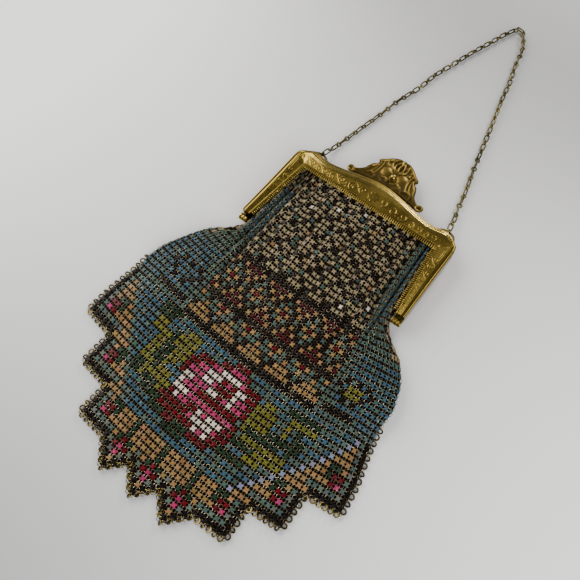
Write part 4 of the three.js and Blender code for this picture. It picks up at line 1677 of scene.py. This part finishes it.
    def half(self, name: str, side: Side) -> bpy.types.Object:
        """Builds one half as a closed pressed channel.

        Args:
            name: The piece's name.
            side: Which half it is.

        Returns:
            The closed channel.
        """
        inner, outer = self.rails()
        way = outer - inner
        width = np.linalg.norm(way, axis=1)
        way = way / width[:, None]
        step = np.linalg.norm(np.diff(inner, axis=0), axis=1)
        run = np.concatenate([[0.0], np.cumsum(step)])
        run -= run[len(run) // 2]
        away, level, across, bar, tall = self.section(inner, outer)
        x, y = (outer[:, i:i + 1] - way[:, i:i + 1] * away for i in (0, 1))
        up = width[:, None] - away
        raised = self.pattern(x, y, run, up, tall)
        raised *= smooth(across, 0.0, 0.05) * (1 - smooth(up, 0.5, 0.3))
        near = (1 - smooth(np.abs(run) - self.inner_top, 2.0, 9.0))[:, None] * (1 - bar)
        for groove in self.grooves:
            line = np.exp(-(((away - groove) / self.groove_width) ** 2))
            raised = np.maximum(raised, 0.8 * near * line)
        z = self.thickness + level + self.relief * raised
        low = self.thickness / 2 + self.joint_gap
        rise = low + (z[:, :1] - low) * np.linspace(0, 0.95, self.wall_points)
        rim = [np.repeat(outer[:, i:i + 1], self.wall_points, 1) for i in (0, 1)]
        face = np.stack([x, y, z], -1)
        inside = self.channel_inside(outer, way, width, z)
        grid = np.concatenate([np.stack([*rim, rise], -1), face, inside], 1)
        if side is Side.BACK:
            grid[..., 2] = self.thickness - grid[..., 2]
        obj = Bench.sheet(name, grid, loop=True, ends=True)
        glow = np.full(grid.shape[:2], 0.55)
        faced = np.where(across > 0, 0.3 + 0.6 * raised, np.clip((level + 1.9) / 1.5, 0.1, 1.0))
        glow[:, self.wall_points:self.wall_points + away.shape[1]] = faced
        mark = obj.data.attributes.new("relief", "FLOAT", "POINT")
        mark.data.foreach_set("value", glow.astype(np.float32).ravel())
        Bench.tidy(obj, 1e-6)
        Bench.smooth_over(obj, 75)
        return obj

    def teeth(self, name: str, side: Side) -> bpy.types.Object:
        """Builds the close row of wire turns that ties the mesh to the inner edge.

        Args:
            name: The piece's name.
            side: Which half it belongs to.

        Returns:
            The joined row.
        """
        inner, _ = self.rails()
        run = np.concatenate([[0], np.cumsum(np.linalg.norm(np.diff(inner, axis=0), axis=1))])
        first, last = self.tooth_margins
        stops = np.arange(first, run[-1] - last, self.tooth_pitch)
        spots = np.stack([np.interp(stops, run, inner[:, i]) for i in (0, 1)], 1)
        ahead = np.stack([np.interp(stops + 0.3, run, inner[:, i]) for i in (0, 1)], 1) - spots
        ahead /= np.linalg.norm(ahead, axis=1)[:, None]
        dip = np.full(len(spots), -self.tooth_dip * side.value)
        out = np.stack([ahead[:, 1], -ahead[:, 0], dip], 1)
        along = np.concatenate([ahead, np.zeros((len(spots), 1))], 1)
        Bench.clear()
        bpy.ops.mesh.primitive_uv_sphere_add(
            segments=8, ring_count=7, radius=self.tooth_radius, rotation=(0, math.pi / 2, 0)
        )
        bpy.ops.object.transform_apply(location=True, rotation=True, scale=True)
        bpy.ops.object.mode_set(mode="EDIT")
        bpy.ops.mesh.select_all(action="SELECT")
        bpy.ops.mesh.bisect(plane_co=(0, 0, 0), plane_no=(1, 0, 0))
        bpy.ops.object.mode_set(mode="OBJECT")
        for vertex in bpy.context.object.data.vertices:
            if abs(vertex.co.x) > 1e-5:
                vertex.co.x += math.copysign(self.tooth_length, vertex.co.x)
        form = Bench.as_form(bpy.context.object)
        height = self.thickness / 2 + side.value * (self.thickness / 2 - self.tooth_depth)
        places = spots + self.tooth_reach * out[:, :2]
        centres = np.concatenate([places, np.full((len(spots), 1), height)], 1)
        obj = Bench.spread(name, form, centres, out, along, np.cross(out, along))
        Bench.smooth_over(obj, 60)
        return obj

    def hinge(self, name: str, side: int) -> bpy.types.Object:
        """Builds one hinge: three knuckles on one line.

        Args:
            name: The piece's name.
            side: -1 for the left one, 1 for the right one.

        Returns:
            The hinge.
        """
        centre = np.array((side * (self.half_width - 2.0), self.arm_end - 1.8, self.thickness / 2))
        Bench.clear()
        bpy.ops.mesh.primitive_cylinder_add(
            vertices=28, radius=self.barrel_radius, depth=self.barrel_length, rotation=(0, math.pi / 2, 0)
        )
        obj = bpy.context.object
        bpy.ops.object.transform_apply(location=True, rotation=True, scale=True)
        bpy.ops.object.mode_set(mode="EDIT")
        for cut in self.barrel_cuts:
            bpy.ops.mesh.select_all(action="SELECT")
            bpy.ops.mesh.bisect(plane_co=(cut, 0, 0), plane_no=(1, 0, 0))
        bpy.ops.object.mode_set(mode="OBJECT")
        for vertex in obj.data.vertices:
            if abs(abs(vertex.co.x) - self.barrel_neck) < 1e-3:
                vertex.co.y *= 0.82
                vertex.co.z *= 0.82
        sharp = math.radians(60)
        Bench.modify(obj, "BEVEL", width=0.12, segments=2, limit_method="ANGLE", angle_limit=sharp)
        obj.data.transform(Matrix.Translation(in_row(centre) / MM))
        obj.data.transform(Matrix.Scale(MM, 4))
        obj.name = obj.data.name = name
        Bench.smooth_over(obj, 40)
        return obj

    def ears(self) -> bpy.types.Object:
        """Builds the two wire ears and their feet, and the lugs and pin of the thumb lift.

        Returns:
            The joined piece.
        """
        pieces = []
        edge = self.top_y + float(self.arch(np.array(self.ear_x / self.inner_top))) - self.ear_wire
        z = self.thickness / 2 - self.joint_gap - self.wall - self.ear_wire
        for side in (-1, 1):
            turn = np.linspace(0, np.pi, 30)
            x = side * self.ear_x + self.ear_half * np.cos(turn)
            y = edge + self.ear_reach * np.sin(turn) ** 0.8
            pieces.append(Bench.tube("ear", np.stack([x, y, np.full(30, z)], 1), self.ear_wire, 12))
            for end in (-1, 1):
                x = side * self.ear_x + self.ear_half * end
                foot = np.array([(x, edge - 0.1, z - 0.3), (x, edge + 0.6, z - 0.3)])
                pieces.append(Bench.tube("foot", foot, np.array((0.95, 0.75)), 12))
        axis_y = self.top_y + self.arch_rise + self.lift_rise
        for side in (-1, 1):
            x = side * self.lug_x
            line = np.array([(x + end * self.lug_half, axis_y, self.lift_z) for end in (-1, 1)])
            pieces.append(Bench.tube("lug", line, self.lug_radius, 20))
            foot = np.array([(x, axis_y - 2.4, self.lift_z), (x, axis_y, self.lift_z)])
            pieces.append(Bench.tube("lug_foot", foot, np.array((1.2, 1.1)), 16))
        pin = np.array([(end * self.lug_x, axis_y, self.lift_z) for end in (-1, 1)])
        pieces.append(Bench.tube("pin", pin, self.pin_radius, 12))
        obj = Bench.join("ears_and_lugs", pieces)
        Bench.smooth_over(obj, 45)
        return obj

    def make(self, gilt: bpy.types.Material, plain: bpy.types.Material, dark: bpy.types.Material) -> None:
        """Builds both halves, their wire rows, hinges and ears.

        Args:
            gilt: The pressed halves' finish.
            plain: The wire rows' and hinges' finish.
            dark: The ears' finish.
        """
        for name, side in (("front", Side.FRONT), ("back", Side.BACK)):
            shell = self.half(name + "_shell", side)
            Bench.dress(shell, gilt, "purse", "gilt_brass", name + "_frame")
            Bench.dress(self.teeth(name + "_wire_row", side), plain, "purse", "gilt_brass")
        Bench.dress(self.ears(), dark, "purse", "gilt_brass")
        for name, side in (("left", -1), ("right", 1)):
            hinge = self.hinge("hinge_" + name, side)
            Bench.dress(hinge, plain, "purse", "gilt_brass", "hinge_barrel_" + name)


# Thumb lift


class Strand(NamedTuple):
    """One raised strand of the crest: its places on the right side, its thickness and its height."""

    places: tuple[tuple[float, float], ...]
    thick: tuple[float, ...]
    lift: float


class Lump(NamedTuple):
    """One rounded lump of the crest: its place, its height and its three half sizes."""

    x: float
    y: float
    lift: float
    size: tuple[float, float, float]


@dataclass
class ThumbLift:
    """The cast crest: a plate with a rim, volutes, cheeks, a ball and fanned strands."""

    axis_y: float = 161.95
    axis_z: float = 2.55
    base_y: float = 160.8
    base_z: float = 4.1
    plate: float = 1.5
    barrel: float = 1.25
    barrel_half: float = 5.0
    web: float = 1.2
    web_half: float = 4.0
    voxel: float = 0.2
    strand_share: float = 0.8
    volute_x: float = 18.0
    volute_y: float = 0.4
    volute_reach: float = 1.55
    outline: tuple[tuple[float, float], ...] = (
        (0.0, 17.5), (1.0, 17.3), (1.6, 16.8), (3.0, 16.6), (5.0, 15.9), (7.2, 14.2), (9.0, 12.6),
        (9.9, 12.5), (10.4, 11.6), (9.6, 10.7), (9.9, 9.4), (11.4, 8.6), (12.2, 6.9), (13.0, 4.6),
        (14.2, 2.6), (16.0, 1.0), (17.4, 0.4), (17.4, -1.0), (13.5, -0.1), (9.0, 0.7), (4.5, 1.2),
        (0.0, 1.4),
    )
    strands: tuple[Strand, ...] = (
        Strand(((1.2, 16.7), (4.6, 15.6), (7.6, 13.2), (9.6, 12.0)), (0.6, 0.75, 0.6), 0.2),
        Strand(((10.0, 11.6), (9.2, 9.6), (10.8, 7.6), (12.2, 5.0)), (0.6, 0.55, 0.6), 0.15),
        Strand(((11.6, 6.4), (12.6, 3.8), (14.6, 1.6), (17.0, 0.7)), (0.6, 0.75, 0.8), 0.2),
        Strand(((7.4, 12.0), (7.2, 9.0), (7.6, 6.0), (8.8, 3.4)), (0.4, 0.65, 0.55), 0.25),
        Strand(((8.6, 11.0), (8.5, 8.6), (9.2, 6.0), (10.8, 3.2)), (0.3, 0.5, 0.45), 0.15),
        Strand(((5.6, 13.8), (6.0, 12.6), (5.6, 11.8), (4.6, 11.4)), (0.4, 0.5, 0.35), 0.2),
        Strand(((1.0, 15.6), (1.9, 13.8), (2.0, 12.0), (1.0, 10.2)), (0.55, 0.6, 0.3), 0.5),
        Strand(((3.2, 15.4), (3.8, 13.8), (3.4, 12.2), (2.0, 10.6)), (0.5, 0.6, 0.3), 0.4),
        Strand(((12.0, 1.4), (11.0, 3.4), (8.6, 3.9), (7.2, 2.4)), (0.5, 0.6, 0.35), 0.1),
        Strand(((0.9, 3.4), (2.6, 4.6), (4.6, 4.3), (6.2, 2.9)), (0.5, 0.6, 0.3), 0.0),
        Strand(((3.4, 1.9), (5.2, 2.9), (6.6, 2.6), (7.4, 1.6)), (0.4, 0.5, 0.3), 0.0),
    )
    cheek: Lump = Lump(4.1, 7.9, -0.7, (3.5, 3.5, 1.2))
    volute_disc: Lump = Lump(18.0, 0.4, -0.55, (1.35, 1.35, 0.35))
    # The bud at the top, the keel under it and the ball in the middle.
    lumps: tuple[Lump, ...] = (
        Lump(0.0, 16.2, 0.3, (0.9, 1.3, 0.8)),
        Lump(0.0, 13.0, 0.4, (0.7, 2.6, 0.8)),
        Lump(0.25, 6.6, 0.7, (1.5, 1.4, 1.35)),
    )

    def _place(self, x: float, y: float, z: float = 0.0) -> tuple[float, float, float]:
        """A place on the crest's face, in purse millimetres."""
        return x, self.base_y + y, self.base_z + self.plate + z

    def _lump(self, lump: Lump, side: int = 1) -> bpy.types.Object:
        """A rounded lump, on the right side or mirrored to the left.

        Args:
            lump: The lump.
            side: 1 for the right side, -1 for the left.

        Returns:
            The lump's object.
        """
        Bench.clear()
        bpy.ops.mesh.primitive_uv_sphere_add(segments=28, ring_count=16, radius=MM)
        obj = bpy.context.object
        place = in_row(np.array(self._place(lump.x * side, lump.y, lump.lift)))
        obj.data.transform(Matrix.Diagonal((*lump.size, 1.0)))
        obj.data.transform(Matrix.Translation(place))
        return obj

    def _strand(self, strand: Strand, side: int) -> bpy.types.Object:
        """A raised strand on one side, with its own thickness along it.

        Args:
            strand: The strand.
            side: 1 for the right side, -1 for the left.

        Returns:
            The strand's object.
        """
        share = np.linspace(0, 1, 24)
        knots = np.linspace(0, 1, len(strand.places))
        places = [(x * side, y) for x, y in strand.places]
        x, y = (self._soft(share, knots, [p[i] for p in places]) for i in (0, 1))
        line = np.array([self._place(a, b, strand.lift) for a, b in zip(x, y)])
        thick = [self.strand_share * t for t in strand.thick]
        radius = np.interp(share, np.linspace(0, 1, len(thick)), thick)
        return Bench.tube("strand", line, radius, 10)

    def _volute(self, side: int) -> bpy.types.Object:
        """The curl at one end of the crest's foot.

        Args:
            side: 1 for the right end, -1 for the left.

        Returns:
            The curl's object.
        """
        turn = np.linspace(0.2, 2.4 * math.pi, 60)
        reach = self.volute_reach * (1 - turn / (9.0 * math.pi))
        x = side * (self.volute_x + reach * np.cos(turn + 2.6))
        y = self.base_y + self.volute_y + reach * np.sin(turn + 2.6)
        z = np.full(60, self.base_z + self.plate - 0.1)
        return Bench.tube("volute", np.stack([x, y, z], 1), np.linspace(0.55, 0.45, 60), 10)

    @staticmethod
    def _soft(share: Array, knots: Array, values: Sequence[float]) -> Array:
        """A smooth line through a few values."""
        return np.polyval(np.polyfit(knots, values, min(3, len(values) - 1)), share)

    def _plate(self) -> bpy.types.Object:
        """The flat plate inside the crest's outline.

        Returns:
            The plate's object.
        """
        Bench.clear()
        right = list(self.outline)
        loop = right + [(-x, y) for x, y in reversed(right[1:-1])]
        low = [(x, self.base_y + y, self.base_z) for x, y in loop]
        high = [(x, y, z + self.plate) for x, y, z in low]
        count = len(loop)
        faces = [list(range(count)), list(range(count, 2 * count))[::-1]]
        faces += [[i, (i + 1) % count, (i + 1) % count + count, i + count] for i in range(count)]
        plate = Bench.build("plate", np.array(low + high), faces)
        Bench.tidy(plate)
        return plate

    def solid(self) -> bpy.types.Object:
        """Models the crest and fuses it into one cast solid.

        Returns:
            The crest.
        """
        pieces = [self._plate()]
        for side in (-1, 1):
            pieces += [self._strand(strand, side) for strand in self.strands]
            pieces.append(self._lump(self.cheek, side))
            pieces.append(self._volute(side))
            pieces.append(self._lump(self.volute_disc, side))
        pieces += [self._lump(lump) for lump in self.lumps]
        barrel = np.array([(end * self.barrel_half, self.axis_y, self.axis_z) for end in (-1, 1)])
        pieces.append(Bench.tube("barrel", barrel, self.barrel, 20))
        web = np.array([(end * self.web_half, self.axis_y + 0.7, self.axis_z + 0.75) for end in (-1, 1)])
        pieces.append(Bench.tube("web", web, self.web, 12))
        obj = Bench.join("crest", pieces)
        Bench.modify(obj, "REMESH", mode="VOXEL", voxel_size=self.voxel * MM, use_smooth_shade=True)
        Bench.modify(obj, "SMOOTH", factor=0.5, iterations=3)
        self._mark(obj)
        return obj

    def _mark(self, obj: bpy.types.Object) -> None:
        """Writes how high each place of the face stands, for the patina in the hollows, with painted shadow
        at the foot and painted shade under the ball; it also darkens both ends and the outline.

        Args:
            obj: The crest.
        """
        mesh = obj.data
        co = np.empty(len(mesh.vertices) * 3)
        mesh.vertices.foreach_get("co", co)
        x, y, z = co.reshape(-1, 3).T / MM
        face = self.base_z + self.plate
        glow = 0.15 + 0.85 * smooth(z, face - 0.1, face + 0.8)
        middle, foot = in_row(np.array((0.0, self.base_y, 0.0)))[:2] / MM
        # Painted shadow: darker towards the foot, where the frame's bar shades the crest; the same factor
        # also darkens both ends.
        glow *= smooth(y - foot, 1.0, 6.5) * (1.0 - smooth(np.abs(x - middle), 10.0, 16.0))
        # Painted shade in a small oval under the ball, in place of a recess that is not modelled.
        glow *= 1.0 - 0.9 * np.exp(-(((x - middle) / 2.2) ** 2) - ((y - foot - 4.4) / 0.8) ** 2)
        share = np.linspace(0.0, len(self.outline) - 1.0, 160)
        rim = [np.interp(share, range(len(self.outline)), [p[i] for p in self.outline]) for i in (0, 1)]
        away = np.hypot(np.abs(x - middle)[:, None] - rim[0], (y - foot)[:, None] - rim[1]).min(1)
        glow *= 0.25 + 0.75 * smooth(away, 0.3, 1.5)
        curl = smooth(np.abs(x - middle), 15.4, 16.4) * smooth(z, face, face + 0.4)
        glow = np.maximum(glow, 0.55 * curl)
        mark = mesh.attributes.new("relief", "FLOAT", "POINT")
        mark.data.foreach_set("value", glow.astype(np.float32))

    def make(self, metal: bpy.types.Material) -> None:
        """Builds the lift on its own body."""
        Bench.dress(self.solid(), metal, "lift", "cast_brass", "thumb_lift")


# Chain


@dataclass
class CarryingChain:
    """Long oval links joined by small round rings, laid from ear to ear."""

    long_length: float = 5.0
    long_width: float = 2.6
    ring_width: float = 2.8
    wire: float = 0.72
    slack: float = 1.05
    route_y: float = 148.2
    floor_gap: float = 0.02
    # Points along the middle, up from the frame's bar, left ear to right ear.
    route: tuple[tuple[float, float, float], ...] = (
        (-33.6, 12.35, 3.2), (-32.9, 16.5, 2.6), (-32.3, 20.0, 1.6), (-31.0, 27.0, 1.1),
        (-28.9, 37.5, 1.1), (-26.3, 50.5, 1.1),
        (-24.6, 60.5, 1.1), (-20.9, 74.0, 1.1), (-19.2, 85.3, 1.1), (-15.4, 98.8, 1.1), (-12.2, 109.8, 1.1),
        (-8.6, 120.5, 1.1), (-5.3, 130.6, 1.1), (-1.6, 137.4, 1.1), (2.0, 135.4, 1.1), (6.6, 126.6, 1.1),
        (9.2, 115.0, 1.1), (12.3, 104.3, 1.1), (14.9, 91.7, 1.1), (18.1, 78.6, 1.1), (20.8, 67.2, 1.1),
        (23.2, 56.9, 1.1), (25.6, 46.9, 1.1), (28.4, 36.2, 1.1), (30.6, 26.3, 1.1), (32.3, 20.0, 1.6),
        (32.9, 16.5, 2.6), (33.6, 12.35, 3.2),
    )

    def line(self) -> Array:
        """The chain's middle, as close points in purse millimetres.

        Returns:
            The points, from the left ear to the right one.
        """
        knots = np.array(self.route) + (0.0, self.route_y, 0.0)
        padded = np.concatenate([2 * knots[:1] - knots[1:2], knots, 2 * knots[-1:] - knots[-2:-1]])
        points = []
        for p0, p1, p2, p3 in zip(padded, padded[1:], padded[2:], padded[3:]):
            t = np.linspace(0, 1, 30, endpoint=False)[:, None]
            points.append(0.5 * (2 * p1 + (p2 - p0) * t + (2 * p0 - 5 * p1 + 4 * p2 - p3) * t**2
                                 + (3 * p1 - p0 - 3 * p2 + p3) * t**3))
        return np.concatenate([*points, knots[-1:]])

    def link(self, long: bool) -> Form:
        """Models one link: a torus whose halves are drawn apart for the long one.

        Args:
            long: Whether it is a long link or a ring.

        Returns:
            The link.
        """
        Bench.clear()
        width = self.long_width if long else self.ring_width
        bpy.ops.mesh.primitive_torus_add(
            major_segments=20, minor_segments=8,
            major_radius=(width - self.wire) / 2, minor_radius=self.wire / 2,
        )
        obj = bpy.context.object
        if long:
            shift = (self.long_length - self.long_width) / 2
            for vertex in obj.data.vertices:
                if abs(vertex.co.x) > 1e-4:
                    vertex.co.x += math.copysign(shift, vertex.co.x)
        return Bench.as_form(obj)

    def make(self, metal: bpy.types.Material) -> None:
        """Builds all the links as one joined mesh for each kind.

        Args:
            metal: The chain's finish.
        """
        line = self.line()
        run = np.concatenate([[0.0], np.cumsum(np.linalg.norm(np.diff(line, axis=0), axis=1))])
        pair = self.long_length + self.ring_width - 2 * self.wire - self.slack
        count = round(run[-1] / pair)
        pair = run[-1] / count
        for name, long in (("chain_links", True), ("chain_rings", False)):
            stops = (np.arange(count) + 0.5) * pair if long else np.arange(count + 1) * pair
            before, centres, ahead = (
                np.stack([np.interp(stops + step, run, line[:, i]) for i in range(3)], 1)
                for step in (-0.5, 0.0, 0.5)
            )
            way = ahead - before
            way /= np.linalg.norm(way, axis=1)[:, None]
            turn = 1.1 + 0.75 * np.sin(stops / 17.0) + 0.55 * np.sin(stops / 7.3 + 1.0)
            free = smooth(np.minimum(stops, run[-1] - stops), 0.0, 14.0)
            twist = turn * free + (0.0 if long else np.pi / 2)
            flat = np.cross((0.0, 0.0, 1.0), way)
            flat /= np.linalg.norm(flat, axis=1)[:, None]
            up = np.cross(way, flat)
            side = np.cos(twist)[:, None] * flat + np.sin(twist)[:, None] * up
            form = self.link(long)
            half = (self.long_width if long else self.ring_width) / 2
            thick = self.wire / 2 * np.sqrt(1 - side[:, 2] ** 2)
            low = half * np.abs(side[:, 2]) + self.floor_gap + thick
            centres[:, 2] = np.maximum(centres[:, 2], low)
            obj = Bench.spread(name, form, centres, way, side, np.cross(way, side))
            Bench.smooth_over(obj, 60)
            Bench.dress(obj, metal, "purse", "aged_brass", *(("chain",) if long else ()))


# Studio


class Lamp(NamedTuple):
    """One soft lamp: its name, its place in metres, its width, its power and its colour."""

    name: str
    place: tuple[float, float, float]
    size: float
    power: float
    warmth: tuple[float, float, float]


@dataclass
class Studio:
    """The pale surface, the lights and the camera."""

    eye: tuple[float, float, float] = (0.06346, -0.11971, 0.21988)
    right: tuple[float, float, float] = (0.78446, 0.61959, -0.02689)
    up: tuple[float, float, float] = (-0.55492, 0.72062, 0.41565)
    forward: tuple[float, float, float] = (-0.27691, 0.31113, -0.90913)
    lens: float = 36.0
    floor_size: float = 6.0
    floor_z: float = -0.0002
    air: tuple[float, float, float] = (0.95, 0.97, 1.0)
    air_strength: float = 0.15
    lamps: tuple[Lamp, ...] = (
        Lamp("window", (-0.95, 0.1, 0.6), 1.3, 25.0, (1.0, 0.99, 0.97)),
        Lamp("ridge", (-0.02, 0.95, 0.4), 0.24, 8.0, (1.0, 0.98, 0.94)),
        Lamp("fill", (0.8, -0.6, 0.66), 1.2, 22.0, (0.97, 0.98, 1.0)),
    )

    def camera(self) -> None:
        """Places the camera that the picture was taken from."""
        data = bpy.data.cameras.new("camera")
        data.sensor_width = 36.0
        data.lens = self.lens
        data.clip_start = 0.01
        data.clip_end = 20.0
        obj = bpy.data.objects.new("camera", data)
        bpy.context.scene.collection.objects.link(obj)
        turn = Matrix((self.right, self.up, tuple(-v for v in self.forward))).transposed()
        obj.matrix_world = Matrix.Translation(self.eye) @ turn.to_4x4()
        bpy.context.scene.camera = obj

    def floor(self) -> None:
        """Lays the surface, with its painted light and shade, just under the purse."""
        Bench.clear()
        bpy.ops.mesh.primitive_plane_add(size=self.floor_size, location=(0, 0, self.floor_z))
        obj = bpy.context.object
        bpy.ops.object.transform_apply(location=True, rotation=True, scale=True)
        obj.name = "floor"
        obj.data.materials.append(PaintedLightPaper().make())

    def light(self, lamp: Lamp) -> None:
        """Adds one soft lamp that looks at the purse.

        Args:
            lamp: The lamp.
        """
        data = bpy.data.lights.new(lamp.name, "AREA")
        data.shape = "DISK"
        data.size = lamp.size
        data.energy = lamp.power
        data.color = lamp.warmth
        obj = bpy.data.objects.new(lamp.name, data)
        bpy.context.scene.collection.objects.link(obj)
        obj.location = lamp.place
        way = Vector((0.0, 0.0, 0.0)) - Vector(lamp.place)
        obj.rotation_mode = "QUATERNION"
        obj.rotation_quaternion = way.to_track_quat("-Z", "Y")

    def make(self) -> None:
        """Sets the whole studio up."""
        self.camera()
        self.floor()
        world = bpy.data.worlds.new("room")
        world.use_nodes = True
        room = world.node_tree.nodes["Background"]
        room.inputs[0].default_value = (*self.air, 1.0)
        room.inputs[1].default_value = self.air_strength
        bpy.context.scene.world = world
        for lamp in self.lamps:
            self.light(lamp)


def main() -> None:
    """Loads the frame and builds every sub-assembly in order."""
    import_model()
    Studio().make()
    LOG.info("studio ready")
    gilt = Brass("gilt_pressed", relief=True, roughness=0.24).make()
    plain = Brass("gilt_plain", roughness=0.27, tarnish_and_shade_strength=0.45).make()
    cast = Brass("cast_crest", bright="7c6630", worn="b09654", tarnish_and_shade="141006", relief=True, roughness=0.36,
                 tarnish_and_shade_strength=0.95, grain=0.5).make()
    aged = Brass("aged_chain", bright="5f5634", worn="a39763", tarnish_and_shade="1f1c10", roughness=0.36).make()
    dull = Brass("mesh_rings", bright="857a60", worn="bdb298", tarnish_and_shade="3a3022", roughness=0.4).make()
    edge = Brass("edge_rings", bright="5c4e24", worn="a08d4e", tarnish_and_shade="1e170b", roughness=0.3).make()
    MeshPouch().make(TileEnamel().make(), dull, edge, Cloth().make())
    LOG.info("pouch ready")
    ClosingFrame().make(gilt, plain, aged)
    LOG.info("frame ready")
    ThumbLift().make(cast)
    LOG.info("thumb lift ready")
    CarryingChain().make(aged)
    LOG.info("chain ready")


if __name__ == "__main__":
    main()
